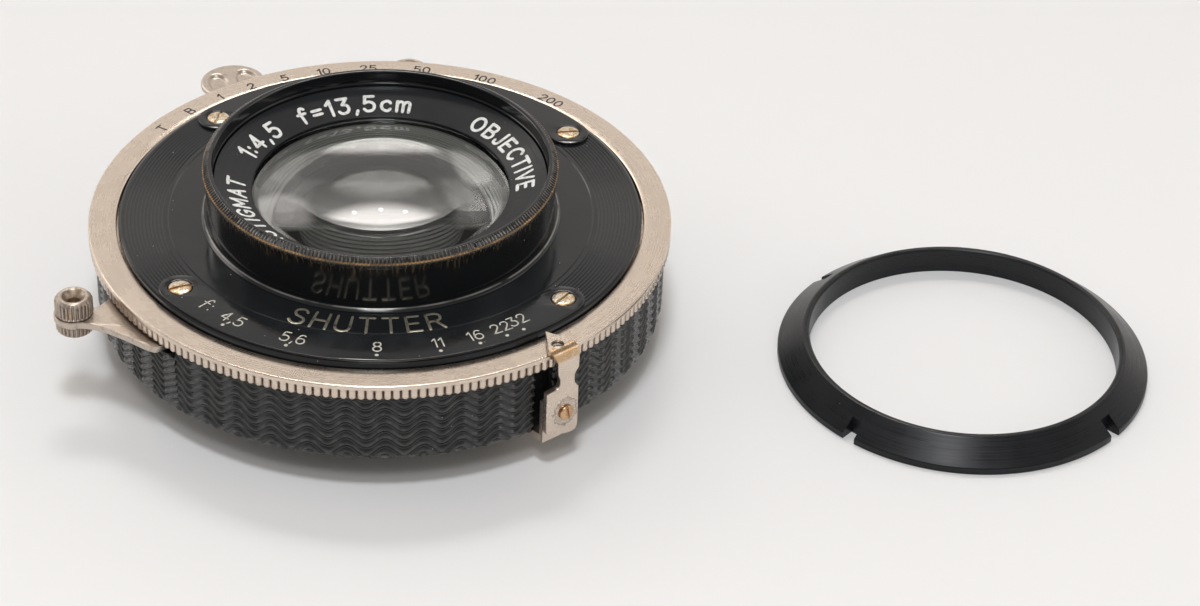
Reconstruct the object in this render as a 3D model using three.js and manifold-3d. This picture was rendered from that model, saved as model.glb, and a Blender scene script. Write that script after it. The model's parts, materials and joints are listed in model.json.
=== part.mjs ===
// Rim-set leaf shutter with a four-element lens of 135 mm, and its loose retaining ring.
// Millimetres, +Z up. The origin is on the optical axis, in the plane that the rear tube rests on.
import * as THREE from 'three'
import { mergeVertices } from 'three/addons/utils/BufferGeometryUtils.js'
import Module from 'manifold-3d'

const wasm = await Module()
wasm.setup()

// ---- driving dimensions ----
const SEGMENTS = 40 // facets round a full ring

const FACE_Z = 16 // top of the speed ring
const SEAT_Z = 3.6 // seat that bears on the lens board
const SEAT_R = 25
const CASE_Z = 4.6 // back of the case
const CASE_R = 35.3
const CASE_WALL = 1.4
const BACK_PLATE = 1.2
const CASE_TOP_Z = 13.65
const TUBE_R = 19.6 // rear thread, over the crests
const TUBE_BORE_R = 17.2

const BAND_GAP_R = 0.06
const BAND_R = 36.3

const RIM_R = 37 // speed ring, over the knurl
const RIM_INNER_R = 33.45
const RIM_Z = 13.9
const RIM_CHAMFER = 0.42
const CAM_FLANGE_R = 30.6
const CAM_FLANGE_Z = 15

const PLATE_R = 33.2 // black face plate
const PLATE_Z = 15.15
const PLATE_TOP_Z = 16.45
const SCALE_TOP_Z = 16.85
const HUB_BORE_R = 19.3
const HUB_R = 21.2
const HUB_Z = 11.2

const SCREW_CIRCLE_R = 30.15
const SCREW_ANGLES = [-139.8, -37.9, 39.7, 140]
const SCREW_HEAD_R = 1.5
const SCREW_SHANK_R = 0.7
const SCALE_INNER_R = 27.5
const SCALE_OUTER_R = 32.8

const COLLAR_R = 22.85
const COLLAR_TOP_Z = 17
const COLLAR_BORE_R = 20.7
const BARREL_R = 22.1
const LIP_R = 22.4 // knurled lip at the barrel's top
const LIP_Z = 22.7
const BARREL_TOP_Z = 24
const BARREL_BORE_R = 21.15
const NECK_R = 19.1
const NECK_Z = 10.3 // lower end of the neck
const CELL_BORE_R = 13.2
const NAME_RING_OUTER_R = 21 // the name ring slopes down to the glass
const NAME_RING_OUTER_Z = 21.85
const NAME_RING_INNER_R = 16.3
const NAME_RING_INNER_Z = 20
const NAME_RING_THICKNESS = 0.45
const GLASS_SEAT_R = 17.2

const POINTER_ANGLE = -49.7 // aperture pointer, as it stands
const POINTER_TRAVEL = 72.6 // from the smallest stop to the largest
const POINTER_LEFT = -2.95 // edges of the upright strip, either side of the pointer's tip
const POINTER_RIGHT = 1.95
const POINTER_THICKNESS = 0.75
const POINTER_X = 37.4 // inner face of the upright strip
const TONGUE_Z = FACE_Z + 0.35 // underside of the tongue over the rim
const TONGUE_TIP_X = 33.9
const ARM_Z = 3.5 // underside of the arm below the case
const ARM_TOP_Z = 4.5
const APERTURE_SCREW_Z = 7.5

const COCK_KNOB_R = 41.65 // place of the cocking knob's axis
const COCK_KNOB_ANGLE = -149.7
const COCK_TRAVEL = 35
const LEVER_Z = 12.7 // underside of the cocking and release levers
const LEVER_THICKNESS = 0.9
const RELEASE_THICKNESS = 0.55

const PAD_R = 40.6 // place of the release pad's axis
const PAD_ANGLE = 124.4
const PAD_RADIUS = 4.4
const RELEASE_PIVOT_R = 29.5
const RELEASE_PIVOT_ANGLE = 112

const SOCKET_R = 39.4 // place of the cable socket's axis
const SOCKET_ANGLE = 89.1

const IRIS_COUNT = 10
const IRIS_PIVOT_R = 23.7
const IRIS_INNER_R = 14.3
const IRIS_OUTER_R = 22.3
const IRIS_CLOSED_HOLE_R = 2
const IRIS_Z = 6.62
const IRIS_STEP = 0.16
const SHUTTER_COUNT = 5
const SHUTTER_PIVOT_R = 26.3
const SHUTTER_INNER_R = 14.9
const SHUTTER_OUTER_R = 24.7
const SHUTTER_OVERLAP = 1
const SHUTTER_Z = 9
const SHUTTER_STEP = 0.18
const BLADE_THICKNESS = 0.12

const MECHANISM_Z = 8.3 // underside of the mechanism plate
const MECHANISM_TOP_Z = 8.9
const MECHANISM_BORE_R = 15.3
const PILLAR_R = 28.6
const PILLAR_ANGLES = [-20, 62, 145]

const GEAR_MODULE = 0.4
const SECTOR_TEETH = 30 // teeth of the whole circle that the sector is part of
const PINION_TEETH = 12
const GEAR_Z = 10.9
const GEAR_THICKNESS = 0.8
const SECTOR_PIVOT_R = 29.4
const SECTOR_PIVOT_ANGLE = 2

const LOOSE_RING_PLACE = [75.2, -4.9, 0]
const LOOSE_RING_BORE_R = 19.85
const LOOSE_RING_R = 23.8
const LOOSE_RING_HEIGHT = 3.5
const LOOSE_RING_RIM_Z = 0.9 // height of the upright edge below the slope
const LOOSE_RING_FLAT = 0.75 // width of the flat beside the bore
const LOOSE_RING_NOTCHES = 4
const NOTCH_INNER_R = 21.9
const NOTCH_WIDTH = 1.75
const NOTCH_ANGLE = -40.3

// ---- materials: colour, roughness, metalness ----
const material = (color, roughness, metalness) =>
  new THREE.MeshStandardMaterial({ color, roughness, metalness })
const ENAMEL = () => material(0x2a2c2e, 0.35, 0.1)
const NICKEL = () => material(0xcfc4b8, 0.32, 0.95)
const BRASS = () => material(0xb18a5a, 0.4, 0.95)
const STEEL = () => material(0x8d9196, 0.35, 0.9)
const SPRING_STEEL = () => material(0x50555c, 0.4, 0.9)
const GLASS = () => {
  const glass = material(0xdfe6e8, 0.05, 0)
  glass.transparent = true
  glass.opacity = 0.35
  return glass
}

const model = new THREE.Group()

function add(name, geometry, look, parent = model) {
  const mesh = new THREE.Mesh(geometry, look)
  mesh.name = name
  parent.add(mesh)
  return mesh
}

function turnedGroup(degrees) {
  const group = new THREE.Group()
  group.rotation.z = THREE.MathUtils.degToRad(degrees)
  model.add(group)
  return group
}

// ---- solids ----
const rad = THREE.MathUtils.degToRad
const polar = (r, degrees) => new THREE.Vector2(r * Math.cos(rad(degrees)), r * Math.sin(rad(degrees)))

// Merges shared corners, drops triangles with no area and turns the faces outwards.
function closed(geometry) {
  const bare = geometry.clone()
  for (const key of Object.keys(bare.attributes)) if (key !== 'position') bare.deleteAttribute(key)
  const merged = mergeVertices(bare, 1e-4)
  const place = merged.attributes.position
  const index = merged.index.array
  const kept = []
  for (let i = 0; i < index.length; i += 3) {
    const [a, b, c] = [index[i], index[i + 1], index[i + 2]]
    if (a !== b && b !== c && c !== a) kept.push(a, b, c)
  }
  const corners = [new THREE.Vector3(), new THREE.Vector3(), new THREE.Vector3()]
  let volume = 0
  for (let i = 0; i < kept.length; i += 3) {
    corners.forEach((corner, j) => corner.fromBufferAttribute(place, kept[i + j]))
    volume += corners[0].dot(corners[1].clone().cross(corners[2]))
  }
  if (volume < 0) kept.reverse()
  merged.setIndex(kept)
  return merged
}

// A body of revolution about Z from a profile of [radius, height] points.
function turned(profile, segments = SEGMENTS) {
  const points = profile.map(([r, z]) => new THREE.Vector2(r, z))
  if (profile.every(([r]) => r > 0)) points.push(points[0].clone())
  return closed(new THREE.LatheGeometry(points, segments).rotateX(Math.PI / 2))
}

// A plain ring with a square section.
const ring = (innerR, outerR, z0, z1, segments) =>
  turned([[innerR, z0], [outerR, z0], [outerR, z1], [innerR, z1]], segments)

// A flat piece of an outline, from z0 to z1.
function plate(shape, z0, z1, curveSegments = 6) {
  const options = { depth: z1 - z0, bevelEnabled: false, curveSegments }
  return closed(new THREE.ExtrudeGeometry(shape, options).translate(0, 0, z0))
}

function rod(r, z0, z1, x = 0, y = 0, segments = 12) {
  const cylinder = new THREE.CylinderGeometry(r, r, z1 - z0, segments)
  return closed(cylinder.rotateX(Math.PI / 2).translate(x, y, (z0 + z1) / 2))
}

function block(x0, x1, y0, y1, z0, z1) {
  const box = new THREE.BoxGeometry(x1 - x0, y1 - y0, z1 - z0)
  return closed(box.translate((x0 + x1) / 2, (y0 + y1) / 2, (z0 + z1) / 2))
}

// A sector of a ring: the outline between two radii and two angles in degrees.
function sectorShape(innerR, outerR, from, to) {
  const shape = new THREE.Shape()
  shape.absarc(0, 0, outerR, rad(from), rad(to), false)
  shape.absarc(0, 0, innerR, rad(to), rad(from), true)
  shape.closePath()
  return shape
}

// A shape through pairs of coordinates.
const shapeOf = (points) => new THREE.Shape(points.map(([x, y]) => new THREE.Vector2(x, y)))

// A tool that runs along X, for an outline of [across, up] points.
const alongX = (points, x0, x1) =>
  closed(plate(shapeOf(points), x0, x1).rotateX(Math.PI / 2).rotateZ(Math.PI / 2))

function toManifold(geometry) {
  const vertProperties = Float32Array.from(geometry.attributes.position.array)
  const triVerts = Uint32Array.from(geometry.index.array)
  return new wasm.Manifold(new wasm.Mesh({ numProp: 3, vertProperties, triVerts }))
}

function fromManifold(solid) {
  const mesh = solid.getMesh()
  const geometry = new THREE.BufferGeometry()
  geometry.setAttribute('position', new THREE.BufferAttribute(mesh.vertProperties, 3))
  geometry.setIndex(new THREE.BufferAttribute(mesh.triVerts, 1))
  return closed(geometry)
}

const cut = (body, ...tools) =>
  fromManifold(tools.reduce((solid, tool) => solid.subtract(toManifold(tool)), toManifold(body)))
const join = (body, ...others) =>
  fromManifold(others.reduce((solid, other) => solid.add(toManifold(other)), toManifold(body)))

// ---- case ----
const LEVER_SLOT_Z = LEVER_Z - 0.25
const cockingSlot = sectorShape(32, 38, COCK_KNOB_ANGLE - COCK_TRAVEL - 4, -129)
const releaseSlot = sectorShape(32, 38, 113, 142)

function rearHousing() {
  const inner = CASE_R - CASE_WALL
  const floor = CASE_Z + BACK_PLATE
  const shell = turned([
    [TUBE_BORE_R, 0], [TUBE_R - 0.3, 0], [TUBE_R, 0.3], [TUBE_R, SEAT_Z], [SEAT_R, SEAT_Z], [SEAT_R, CASE_Z],
    [CASE_R, CASE_Z], [CASE_R, CASE_TOP_Z], [inner, CASE_TOP_Z], [inner, floor], [TUBE_BORE_R, floor],
  ])
  const armSlot = sectorShape(26.4, 29.6, POINTER_ANGLE - POINTER_TRAVEL - 5, POINTER_ANGLE + 5)
  return cut(
    shell,
    plate(armSlot, CASE_Z - 1, floor + 1, 8),
    plate(cockingSlot, LEVER_SLOT_Z, CASE_TOP_Z + 1),
    plate(releaseSlot, LEVER_SLOT_Z, CASE_TOP_Z + 1),
  )
}

function waveBand() {
  const band = ring(CASE_R + BAND_GAP_R, BAND_R, CASE_Z + 0.1, CASE_TOP_Z - 0.05)
  return cut(
    band,
    plate(sectorShape(34, 38, -56.2, -50.5), 0, FACE_Z),
    plate(cockingSlot, LEVER_SLOT_Z, FACE_Z),
    plate(releaseSlot, LEVER_SLOT_Z, FACE_Z),
  )
}

// The partition that carries the blades' pivots and the gear posts.
function mechanismPlate() {
  const studs = []
  for (let i = 0; i < IRIS_COUNT; i++) {
    const { x, y } = polar(IRIS_PIVOT_R, (i * 360) / IRIS_COUNT)
    studs.push(rod(0.4, IRIS_Z, MECHANISM_Z + 0.1, x, y, 8))
  }
  for (let i = 0; i < SHUTTER_COUNT; i++) {
    const { x, y } = polar(SHUTTER_PIVOT_R, (i * 360) / SHUTTER_COUNT + 36)
    studs.push(rod(0.5, MECHANISM_TOP_Z - 0.1, SHUTTER_Z + SHUTTER_COUNT * SHUTTER_STEP, x, y, 8))
  }
  for (const angle of PILLAR_ANGLES) {
    const { x, y } = polar(PILLAR_R, angle)
    studs.push(rod(1.2, CASE_Z + BACK_PLATE + 0.02, PLATE_Z - 0.02, x, y, 10))
  }
  for (const [r, angle, top] of [
    [RELEASE_PIVOT_R, RELEASE_PIVOT_ANGLE, LEVER_Z + LEVER_THICKNESS],
    [GEAR.sectorR, GEAR.sectorAngle, GEAR_Z + GEAR_THICKNESS],
    [GEAR.pinionR, GEAR.pinionAngle, GEAR_Z + GEAR_THICKNESS],
  ]) {
    const { x, y } = polar(r, angle)
    studs.push(rod(0.6, MECHANISM_TOP_Z - 0.1, top, x, y, 12))
  }
  return join(ring(MECHANISM_BORE_R, CASE_R - CASE_WALL - 0.2, MECHANISM_Z, MECHANISM_TOP_Z), ...studs)
}

// ---- front ----
const screwPlaces = SCREW_ANGLES.map((angle) => polar(SCREW_CIRCLE_R, angle))

function facePlate() {
  const chamfer = 0.25
  const disc = turned([
    [HUB_BORE_R, HUB_Z], [HUB_R, HUB_Z], [HUB_R, PLATE_Z], [PLATE_R, PLATE_Z], [PLATE_R, PLATE_TOP_Z - chamfer],
    [PLATE_R - chamfer, PLATE_TOP_Z], [HUB_BORE_R, PLATE_TOP_Z],
  ])
  return cut(disc, ...screwPlaces.map(({ x, y }) => rod(SCREW_SHANK_R + 0.08, HUB_Z, FACE_Z + 2, x, y, 8)))
}

// A raised arc plate with round ends, one about each of two screws.
function scalePlate(fromAngle, toAngle) {
  const endR = (SCALE_OUTER_R - SCALE_INNER_R) / 2
  const from = polar(SCREW_CIRCLE_R, fromAngle)
  const to = polar(SCREW_CIRCLE_R, toAngle)
  const outline = new THREE.Shape()
  outline.absarc(0, 0, SCALE_OUTER_R, rad(fromAngle), rad(toAngle), false)
  outline.absarc(to.x, to.y, endR, rad(toAngle), rad(toAngle + 180), false)
  outline.absarc(0, 0, SCALE_INNER_R, rad(toAngle), rad(fromAngle), true)
  outline.absarc(from.x, from.y, endR, rad(fromAngle + 180), rad(fromAngle + 360), false)
  const holes = [from, to].map(({ x, y }) =>
    rod(SCREW_HEAD_R + 0.1, PLATE_TOP_Z - 1, SCALE_TOP_Z + 1, x, y, 12))
  return cut(plate(outline, PLATE_TOP_Z, SCALE_TOP_Z, 10), ...holes)
}

// A slotted cheese-head screw, on its own axis, with its head's underside at z = 0.
function screw(headR, headHeight, shankR, shankLength, slotWidth) {
  const lip = 0.12
  const body = turned([
    [0, -shankLength], [shankR, -shankLength], [shankR, 0], [headR, 0], [headR, headHeight - lip],
    [headR - lip, headHeight], [0, headHeight],
  ], 12)
  const slot = block(-headR - 1, headR + 1, -slotWidth / 2, slotWidth / 2, headHeight * 0.45, headHeight + 1)
  return cut(body, slot)
}

// ---- front cell ----
const collar = () =>
  turned([
    [COLLAR_BORE_R, PLATE_TOP_Z], [COLLAR_R, PLATE_TOP_Z], [COLLAR_R, PLATE_TOP_Z + 0.15],
    [COLLAR_R - 0.4, COLLAR_TOP_Z], [COLLAR_BORE_R, COLLAR_TOP_Z],
  ])

// The stepped neck, the outer sleeve with its lip, the front seat, the tapered baffle and the rear seat.
const frontBarrel = () =>
  turned([
    [CELL_BORE_R, NECK_Z], [15.2, NECK_Z], [15.2, HUB_Z], [NECK_R, HUB_Z], [NECK_R, PLATE_TOP_Z],
    [COLLAR_BORE_R - 0.15, PLATE_TOP_Z], [COLLAR_BORE_R - 0.15, COLLAR_TOP_Z], [BARREL_R, COLLAR_TOP_Z],
    [BARREL_R, LIP_Z - 0.15], [LIP_R, LIP_Z], [LIP_R, BARREL_TOP_Z - 0.5], [LIP_R - 0.7, BARREL_TOP_Z],
    [BARREL_BORE_R + 0.15, BARREL_TOP_Z], [BARREL_BORE_R, BARREL_TOP_Z - 0.15],
    [BARREL_BORE_R, NAME_RING_OUTER_Z - 0.7], [GLASS_SEAT_R, NAME_RING_INNER_Z - 0.55], [GLASS_SEAT_R, 16.5],
    [15.8, 16.5], [12.2, 14.05], [CELL_BORE_R, 14.05],
  ])

const nameRing = () =>
  turned([
    [NAME_RING_INNER_R, NAME_RING_INNER_Z - NAME_RING_THICKNESS],
    [NAME_RING_OUTER_R, NAME_RING_OUTER_Z - NAME_RING_THICKNESS],
    [NAME_RING_OUTER_R, NAME_RING_OUTER_Z], [NAME_RING_INNER_R, NAME_RING_INNER_Z],
  ])

// Heights along a spherical surface of a radius of curvature, from the axis out to an edge.
function arcProfile(edgeR, curvature, apexZ, steps) {
  const points = []
  for (let i = 0; i <= steps; i++) {
    const r = (edgeR * i) / steps
    const sag = Math.abs(curvature) - Math.sqrt(curvature * curvature - r * r)
    points.push([r, apexZ - Math.sign(curvature) * sag])
  }
  return points
}

// A lens element: curvature is positive where the surface's middle stands highest.
function element(edgeR, top, bottom) {
  const upper = arcProfile(top.r ?? edgeR, top.curvature, top.apex, 3)
  const lower = arcProfile(bottom.r ?? edgeR, bottom.curvature, bottom.apex, 3)
  const profile = [...lower, [edgeR, lower.at(-1)[1]], [edgeR, upper.at(-1)[1]], ...upper.reverse()]
  const isNew = ([r, z], i) => i === 0 || r !== profile[i - 1][0] || z !== profile[i - 1][1]
  return turned(profile.filter(isNew), 28)
}

// ---- rear cell ----
const rearBarrel = () =>
  turned([[14.9, 5.2], [15.9, 5.2], [15.9, 0.5], [16.6, 0.5], [17, 0.9], [17, 5.65], [14.9, 5.65]])

// ---- moving rings ----
const speedRing = () =>
  turned([
    [CAM_FLANGE_R, RIM_Z + 0.1], [RIM_INNER_R, RIM_Z + 0.1], [RIM_INNER_R + 0.2, RIM_Z], [RIM_R, RIM_Z],
    [RIM_R, FACE_Z - RIM_CHAMFER], [RIM_R - RIM_CHAMFER, FACE_Z], [RIM_INNER_R, FACE_Z],
    [RIM_INNER_R, CAM_FLANGE_Z], [CAM_FLANGE_R, CAM_FLANGE_Z],
  ], 48)

// ---- aperture setting, drawn with the pointer along +X ----
function apertureRing() {
  const underside = CASE_Z + BACK_PLATE + 0.1
  const lug = plate(sectorShape(24.5, 29, -4, 4), underside, underside + 0.6)
  return join(ring(15.6, 25.4, underside, underside + 0.6), lug)
}

// Runs under the case from the slot in its back to the outside, where it turns up.
function apertureArm() {
  const outer = POINTER_X - 0.1
  const inner = outer - 0.65
  const flat = new THREE.Shape([
    polar(26.8, -3.6), polar(30.5, -5.2), polar(35.3, -5), new THREE.Vector2(inner + 0.3, POINTER_LEFT + 0.1),
    new THREE.Vector2(inner + 0.3, POINTER_RIGHT - 0.1), polar(30.5, 4.5), polar(26.8, 3.6),
  ])
  const tab = plate(sectorShape(27, 29, -3, 3), ARM_TOP_Z - 0.1, CASE_Z + BACK_PLATE + 0.05)
  const upright = block(inner, outer, POINTER_LEFT + 0.1, POINTER_RIGHT - 0.1, ARM_Z, 9.6)
  return cut(join(plate(flat, ARM_Z, ARM_TOP_Z), tab, upright), apertureScrewHole())
}

const apertureScrewHole = () =>
  rod(0.6, 30, 42, 0, 0, 12).rotateY(Math.PI / 2).translate(0, 0, APERTURE_SCREW_Z)

// The visible strip: notched, folded over the rim and pointed towards the scale.
function aperturePointer() {
  const bend = 0.85
  const top = TONGUE_Z + POINTER_THICKNESS
  const outerX = POINTER_X + POINTER_THICKNESS
  const section = new THREE.Shape()
  section.moveTo(POINTER_X, 4.1)
  section.lineTo(outerX, 4.1)
  section.lineTo(outerX, top - bend)
  section.absarc(outerX - bend, top - bend, bend, 0, Math.PI / 2, false)
  section.lineTo(TONGUE_TIP_X, top)
  section.lineTo(TONGUE_TIP_X, TONGUE_Z)
  section.lineTo(outerX - bend, TONGUE_Z)
  section.absarc(outerX - bend, top - bend, bend - POINTER_THICKNESS, Math.PI / 2, 0, true)
  section.closePath()
  const options = { depth: POINTER_RIGHT - POINTER_LEFT, bevelEnabled: false, curveSegments: 8 }
  const extruded = new THREE.ExtrudeGeometry(section, options)
  const strip = closed(extruded.rotateX(Math.PI / 2).translate(0, POINTER_RIGHT, 0))
  const leftNotch = [
    [-4, 11.4], [-1.5, 11.4], [-1.05, 11.8], [-0.9, 12.4], [-1.2, 13.5], [-1.3, 15.2], [-2.4, 16.2], [-4, 16.2],
  ]
  const rightNotch = [[4, 10.7], [1.93, 10.7], [1.4, 11.4], [1.28, 12.1], [1.4, 12.8], [1.95, 13.6], [4, 13.6]]
  const slantedEnd = [[-4, 3], [1.2, 3], [1.2, 4.1], [-2.2, 4.9], [-2.95, 5.5], [-4, 5.5]]
  const sides = [[POINTER_LEFT, 0.6], [POINTER_RIGHT, -0.02]].map(([edge, inset]) => {
    const beyond = 3 * Math.sign(edge)
    return plate(shapeOf([
      [33, 0], [TONGUE_TIP_X, Math.sign(edge) * 0.1], [37.3, edge + inset], [37.3, beyond], [33, beyond],
    ]), TONGUE_Z - 0.3, top + 0.5)
  })
  const notches = [leftNotch, rightNotch, slantedEnd].map((outline) => alongX(outline, 36.5, 39))
  return cut(strip, ...notches, ...sides, apertureScrewHole())
}

// ---- cocking lever and knob ----
function cockingLever() {
  const knob = polar(COCK_KNOB_R, COCK_KNOB_ANGLE)
  const roundTheKnob = Array.from({ length: 11 }, (_, i) => polar(2.6, COCK_KNOB_ANGLE - 65 + i * 15).add(knob))
  const outline = new THREE.Shape([
    polar(22.4, -151), polar(32, -151), polar(37, -150.6), polar(39.2, -149.6), ...roundTheKnob,
    polar(40.2, -144), polar(38.8, -139.6), polar(38.1, -136), polar(37.6, -133.2), polar(36.6, -132),
    polar(32, -131.5), polar(22.4, -134),
  ])
  const arm = plate(outline, LEVER_Z, LEVER_Z + LEVER_THICKNESS)
  const hole = rod(1.3, LEVER_Z - 1, LEVER_Z + 2, knob.x, knob.y)
  return cut(join(ring(21.5, 24.3, LEVER_Z, LEVER_Z + LEVER_THICKNESS), arm), hole)
}

// A ribbed knob in two halves about the lever, one piece through the lever's hole.
function cockingKnob() {
  const knobR = 2.35
  const body = turned([
    [0, 11.1], [knobR - 0.3, 11.1], [knobR, 11.4], [knobR, LEVER_Z - 0.02], [1.25, LEVER_Z - 0.02],
    [1.25, LEVER_Z + LEVER_THICKNESS + 0.02], [knobR, LEVER_Z + LEVER_THICKNESS + 0.02],
    [knobR, FACE_Z - 0.4], [knobR - 0.4, FACE_Z + 0.1], [1.4, FACE_Z + 0.1], [0.75, FACE_Z - 0.9],
    [0.75, FACE_Z - 2.1], [0, FACE_Z - 2.1],
  ], 16)
  const { x, y } = polar(COCK_KNOB_R, COCK_KNOB_ANGLE)
  return body.translate(x, y, 0)
}

// ---- release lever, its pad and the hairpin that returns it ----
function releaseOutline() {
  const pivot = polar(RELEASE_PIVOT_R, RELEASE_PIVOT_ANGLE)
  const outline = new THREE.Shape([
    polar(27.4, 108), polar(31.4, 109.5), polar(33.5, 115.5), polar(36.5, 119.5), polar(38.6, 121.6),
    polar(42.5, 123), polar(42.5, 125.8), polar(38.6, 127.4), polar(35, 127), polar(31, 121.5),
    polar(26.4, 119),
  ])
  return { outline, hole: rod(0.68, 10, 16, pivot.x, pivot.y, 12) }
}

function releaseLever() {
  const { outline, hole } = releaseOutline()
  return cut(plate(outline, LEVER_Z, LEVER_Z + RELEASE_THICKNESS), hole)
}

// A round pad that sits astride the lever's end, dished on both sides of a middle bar.
function releasePad() {
  const top = RIM_Z - 0.1
  const pad = polar(PAD_R, PAD_ANGLE)
  const disc = turned([
    [0, LEVER_Z], [PAD_RADIUS - 0.5, LEVER_Z], [PAD_RADIUS, LEVER_Z + 0.5],
    [PAD_RADIUS - 0.1, top - 0.1], [PAD_RADIUS - 0.2, top], [0, top],
  ], 24)
  const barHalf = 0.5
  const dish = (side) => {
    const shape = new THREE.Shape()
    shape.absarc(0, 0, PAD_RADIUS - 0.8, rad(8), rad(172), false)
    shape.closePath()
    const dug = plate(shape, top - 0.4, top + 1)
    return dug.rotateZ(side > 0 ? 0 : Math.PI).translate(0, side * barHalf, 0).rotateZ(rad(PAD_ANGLE - 12))
  }
  const seat = plate(releaseOutline().outline, LEVER_Z - 1, LEVER_Z + RELEASE_THICKNESS + 0.05)
  const grown = seat.translate(-pad.x, -pad.y, 0).scale(1.06, 1.06, 1)
  return cut(disc, dish(1), dish(-1), grown).translate(pad.x, pad.y, 0)
}

function wireAlong(points, radius, steps) {
  const path = new THREE.CatmullRomCurve3(points.map(([x, y, z]) => new THREE.Vector3(x, y, z)))
  const section = new THREE.Shape()
  section.absarc(0, 0, radius, 0, 2 * Math.PI, false)
  return closed(new THREE.ExtrudeGeometry(section, { extrudePath: path, steps, curveSegments: 3 }))
}

const onCircle = (r, degrees, z) => {
  const { x, y } = polar(r, degrees)
  return [x, y, z]
}

function releaseSpring() {
  const bends = [[26, 96], [27.2, 101], [28.6, 106], [31.6, 110], [32.4, 116], [32, 121]]
  return wireAlong(bends.map(([r, angle]) => onCircle(r, angle, 11.6)), 0.3, 14)
}

// An open flat coil round the hub that drives the blades.
const mainSpring = () =>
  wireAlong(Array.from({ length: 13 }, (_, i) => onCircle(26.5 + 0.2 * i, 160 + i * 10, 11.5)), 0.45, 20)

// ---- cable release socket: a boss on a foot that hugs the band ----
function cableSocket() {
  const boss = turned([
    [0.75, 9.2], [2.1, 9.2], [2.6, 9.7], [2.6, 13.2], [2.3, 13.5], [1.3, 13.5], [0.75, 12.6],
  ], 16)
  const foot = plate(sectorShape(BAND_R + 0.12, BAND_R + 0.95, -6, 6), 6.4, 12.9)
  const bridge = block(BAND_R + 0.5, SOCKET_R - 2, -1.6, 1.6, 9.8, 12.4)
  return join(join(foot, bridge), boss.translate(SOCKET_R, 0, 0))
}

// ---- blades ----
// Angle that a blade turns about a pivot to carry its arc's centre off the axis by a distance.
const swing = (pivotR, distance) => THREE.MathUtils.radToDeg(2 * Math.asin(distance / 2 / pivotR))
const IRIS_SWING = swing(IRIS_PIVOT_R, IRIS_INNER_R - IRIS_CLOSED_HOLE_R)
const SHUTTER_SWING = swing(SHUTTER_PIVOT_R, SHUTTER_INNER_R + SHUTTER_OVERLAP)

// A curved strip with an eyed ear at one end, drawn open about the axis and then swung shut about its pivot.
function blade({ pivotR, innerR, outerR, span, closedBy, earR }) {
  const strip = plate(sectorShape(innerR, outerR, -2, span), 0, BLADE_THICKNESS, 6)
  const ear = join(rod(earR, 0, BLADE_THICKNESS, pivotR, 0, 8),
    block(outerR - 1, pivotR, -earR * 0.9, earR * 0.9, 0, BLADE_THICKNESS))
  const whole = cut(join(strip, ear), rod(earR * 0.62, -1, 1, pivotR, 0, 8))
  return whole.translate(-pivotR, 0, 0).rotateZ(rad(closedBy)).translate(pivotR, 0, 0)
}

function addBlades(name, count, offset, z, step, look, form) {
  for (let i = 0; i < count; i++) {
    const mesh = add(`${name}_${i + 1}`, blade(form), look(), turnedGroup((i * 360) / count + offset))
    mesh.position.z = z + i * step
  }
}

// ---- retard gears ----
const GEAR = (() => {
  const sectorR = SECTOR_PIVOT_R
  const sectorAngle = SECTOR_PIVOT_ANGLE
  const centres = (GEAR_MODULE * (SECTOR_TEETH + PINION_TEETH)) / 2 + 0.05
  const pivot = polar(sectorR, sectorAngle)
  const lineAngle = 100
  const pinion = pivot.clone().add(polar(centres, lineAngle))
  return {
    sectorR, sectorAngle, lineAngle, pivot, pinion,
    pinionR: pinion.length(), pinionAngle: THREE.MathUtils.radToDeg(pinion.angle()),
  }
})()

// Straight-sided gear teeth on a circle, first tooth centred on the angle start.
function gearOutline(teeth, start, from, count, rootR) {
  const pitchR = (GEAR_MODULE * teeth) / 2
  const pitch = 360 / teeth
  const points = []
  for (let i = 0; i < count; i++) {
    const mid = start + (from + i) * pitch
    const tip = pitchR + GEAR_MODULE * 0.8
    points.push(
      polar(rootR, mid - pitch * 0.3), polar(tip, mid - pitch * 0.1),
      polar(tip, mid + pitch * 0.1), polar(rootR, mid + pitch * 0.3),
    )
  }
  return points
}

function retardSector() {
  const rootR = (GEAR_MODULE * SECTOR_TEETH) / 2 - GEAR_MODULE
  const teeth = gearOutline(SECTOR_TEETH, GEAR.lineAngle, -2, 5, rootR)
  const eye = [90, 180, 270].map((turn) => polar(1.4, GEAR.lineAngle + turn))
  const outline = new THREE.Shape([...teeth, ...eye])
  const body = plate(outline, GEAR_Z, GEAR_Z + GEAR_THICKNESS)
  return cut(body, rod(0.68, 9, 14)).translate(GEAR.pivot.x, GEAR.pivot.y, 0)
}

function retardPinion() {
  const rootR = (GEAR_MODULE * PINION_TEETH) / 2 - GEAR_MODULE
  const start = GEAR.lineAngle + 180 + 180 / PINION_TEETH
  const outline = new THREE.Shape(gearOutline(PINION_TEETH, start, 0, PINION_TEETH, rootR))
  const pinion = plate(outline, GEAR_Z, GEAR_Z + GEAR_THICKNESS)
  const star = rod(2, GEAR_Z - 1.2, GEAR_Z + 0.1, 0, 0, 15)
  const whole = cut(join(pinion, star), rod(0.68, 5, 14))
  return whole.translate(GEAR.pinion.x, GEAR.pinion.y, 0)
}

// The anchor that rocks against the star wheel under the pinion.
function retardPallet() {
  const anchor = plate(sectorShape(2.35, 3.1, -60, 75), GEAR_Z - 1.1, GEAR_Z - 0.4)
  const tail = plate(sectorShape(3, 4.4, -12, 28), GEAR_Z - 1.1, GEAR_Z - 0.4)
  return join(anchor, tail).rotateZ(rad(40)).translate(GEAR.pinion.x, GEAR.pinion.y, 0)
}

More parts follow.
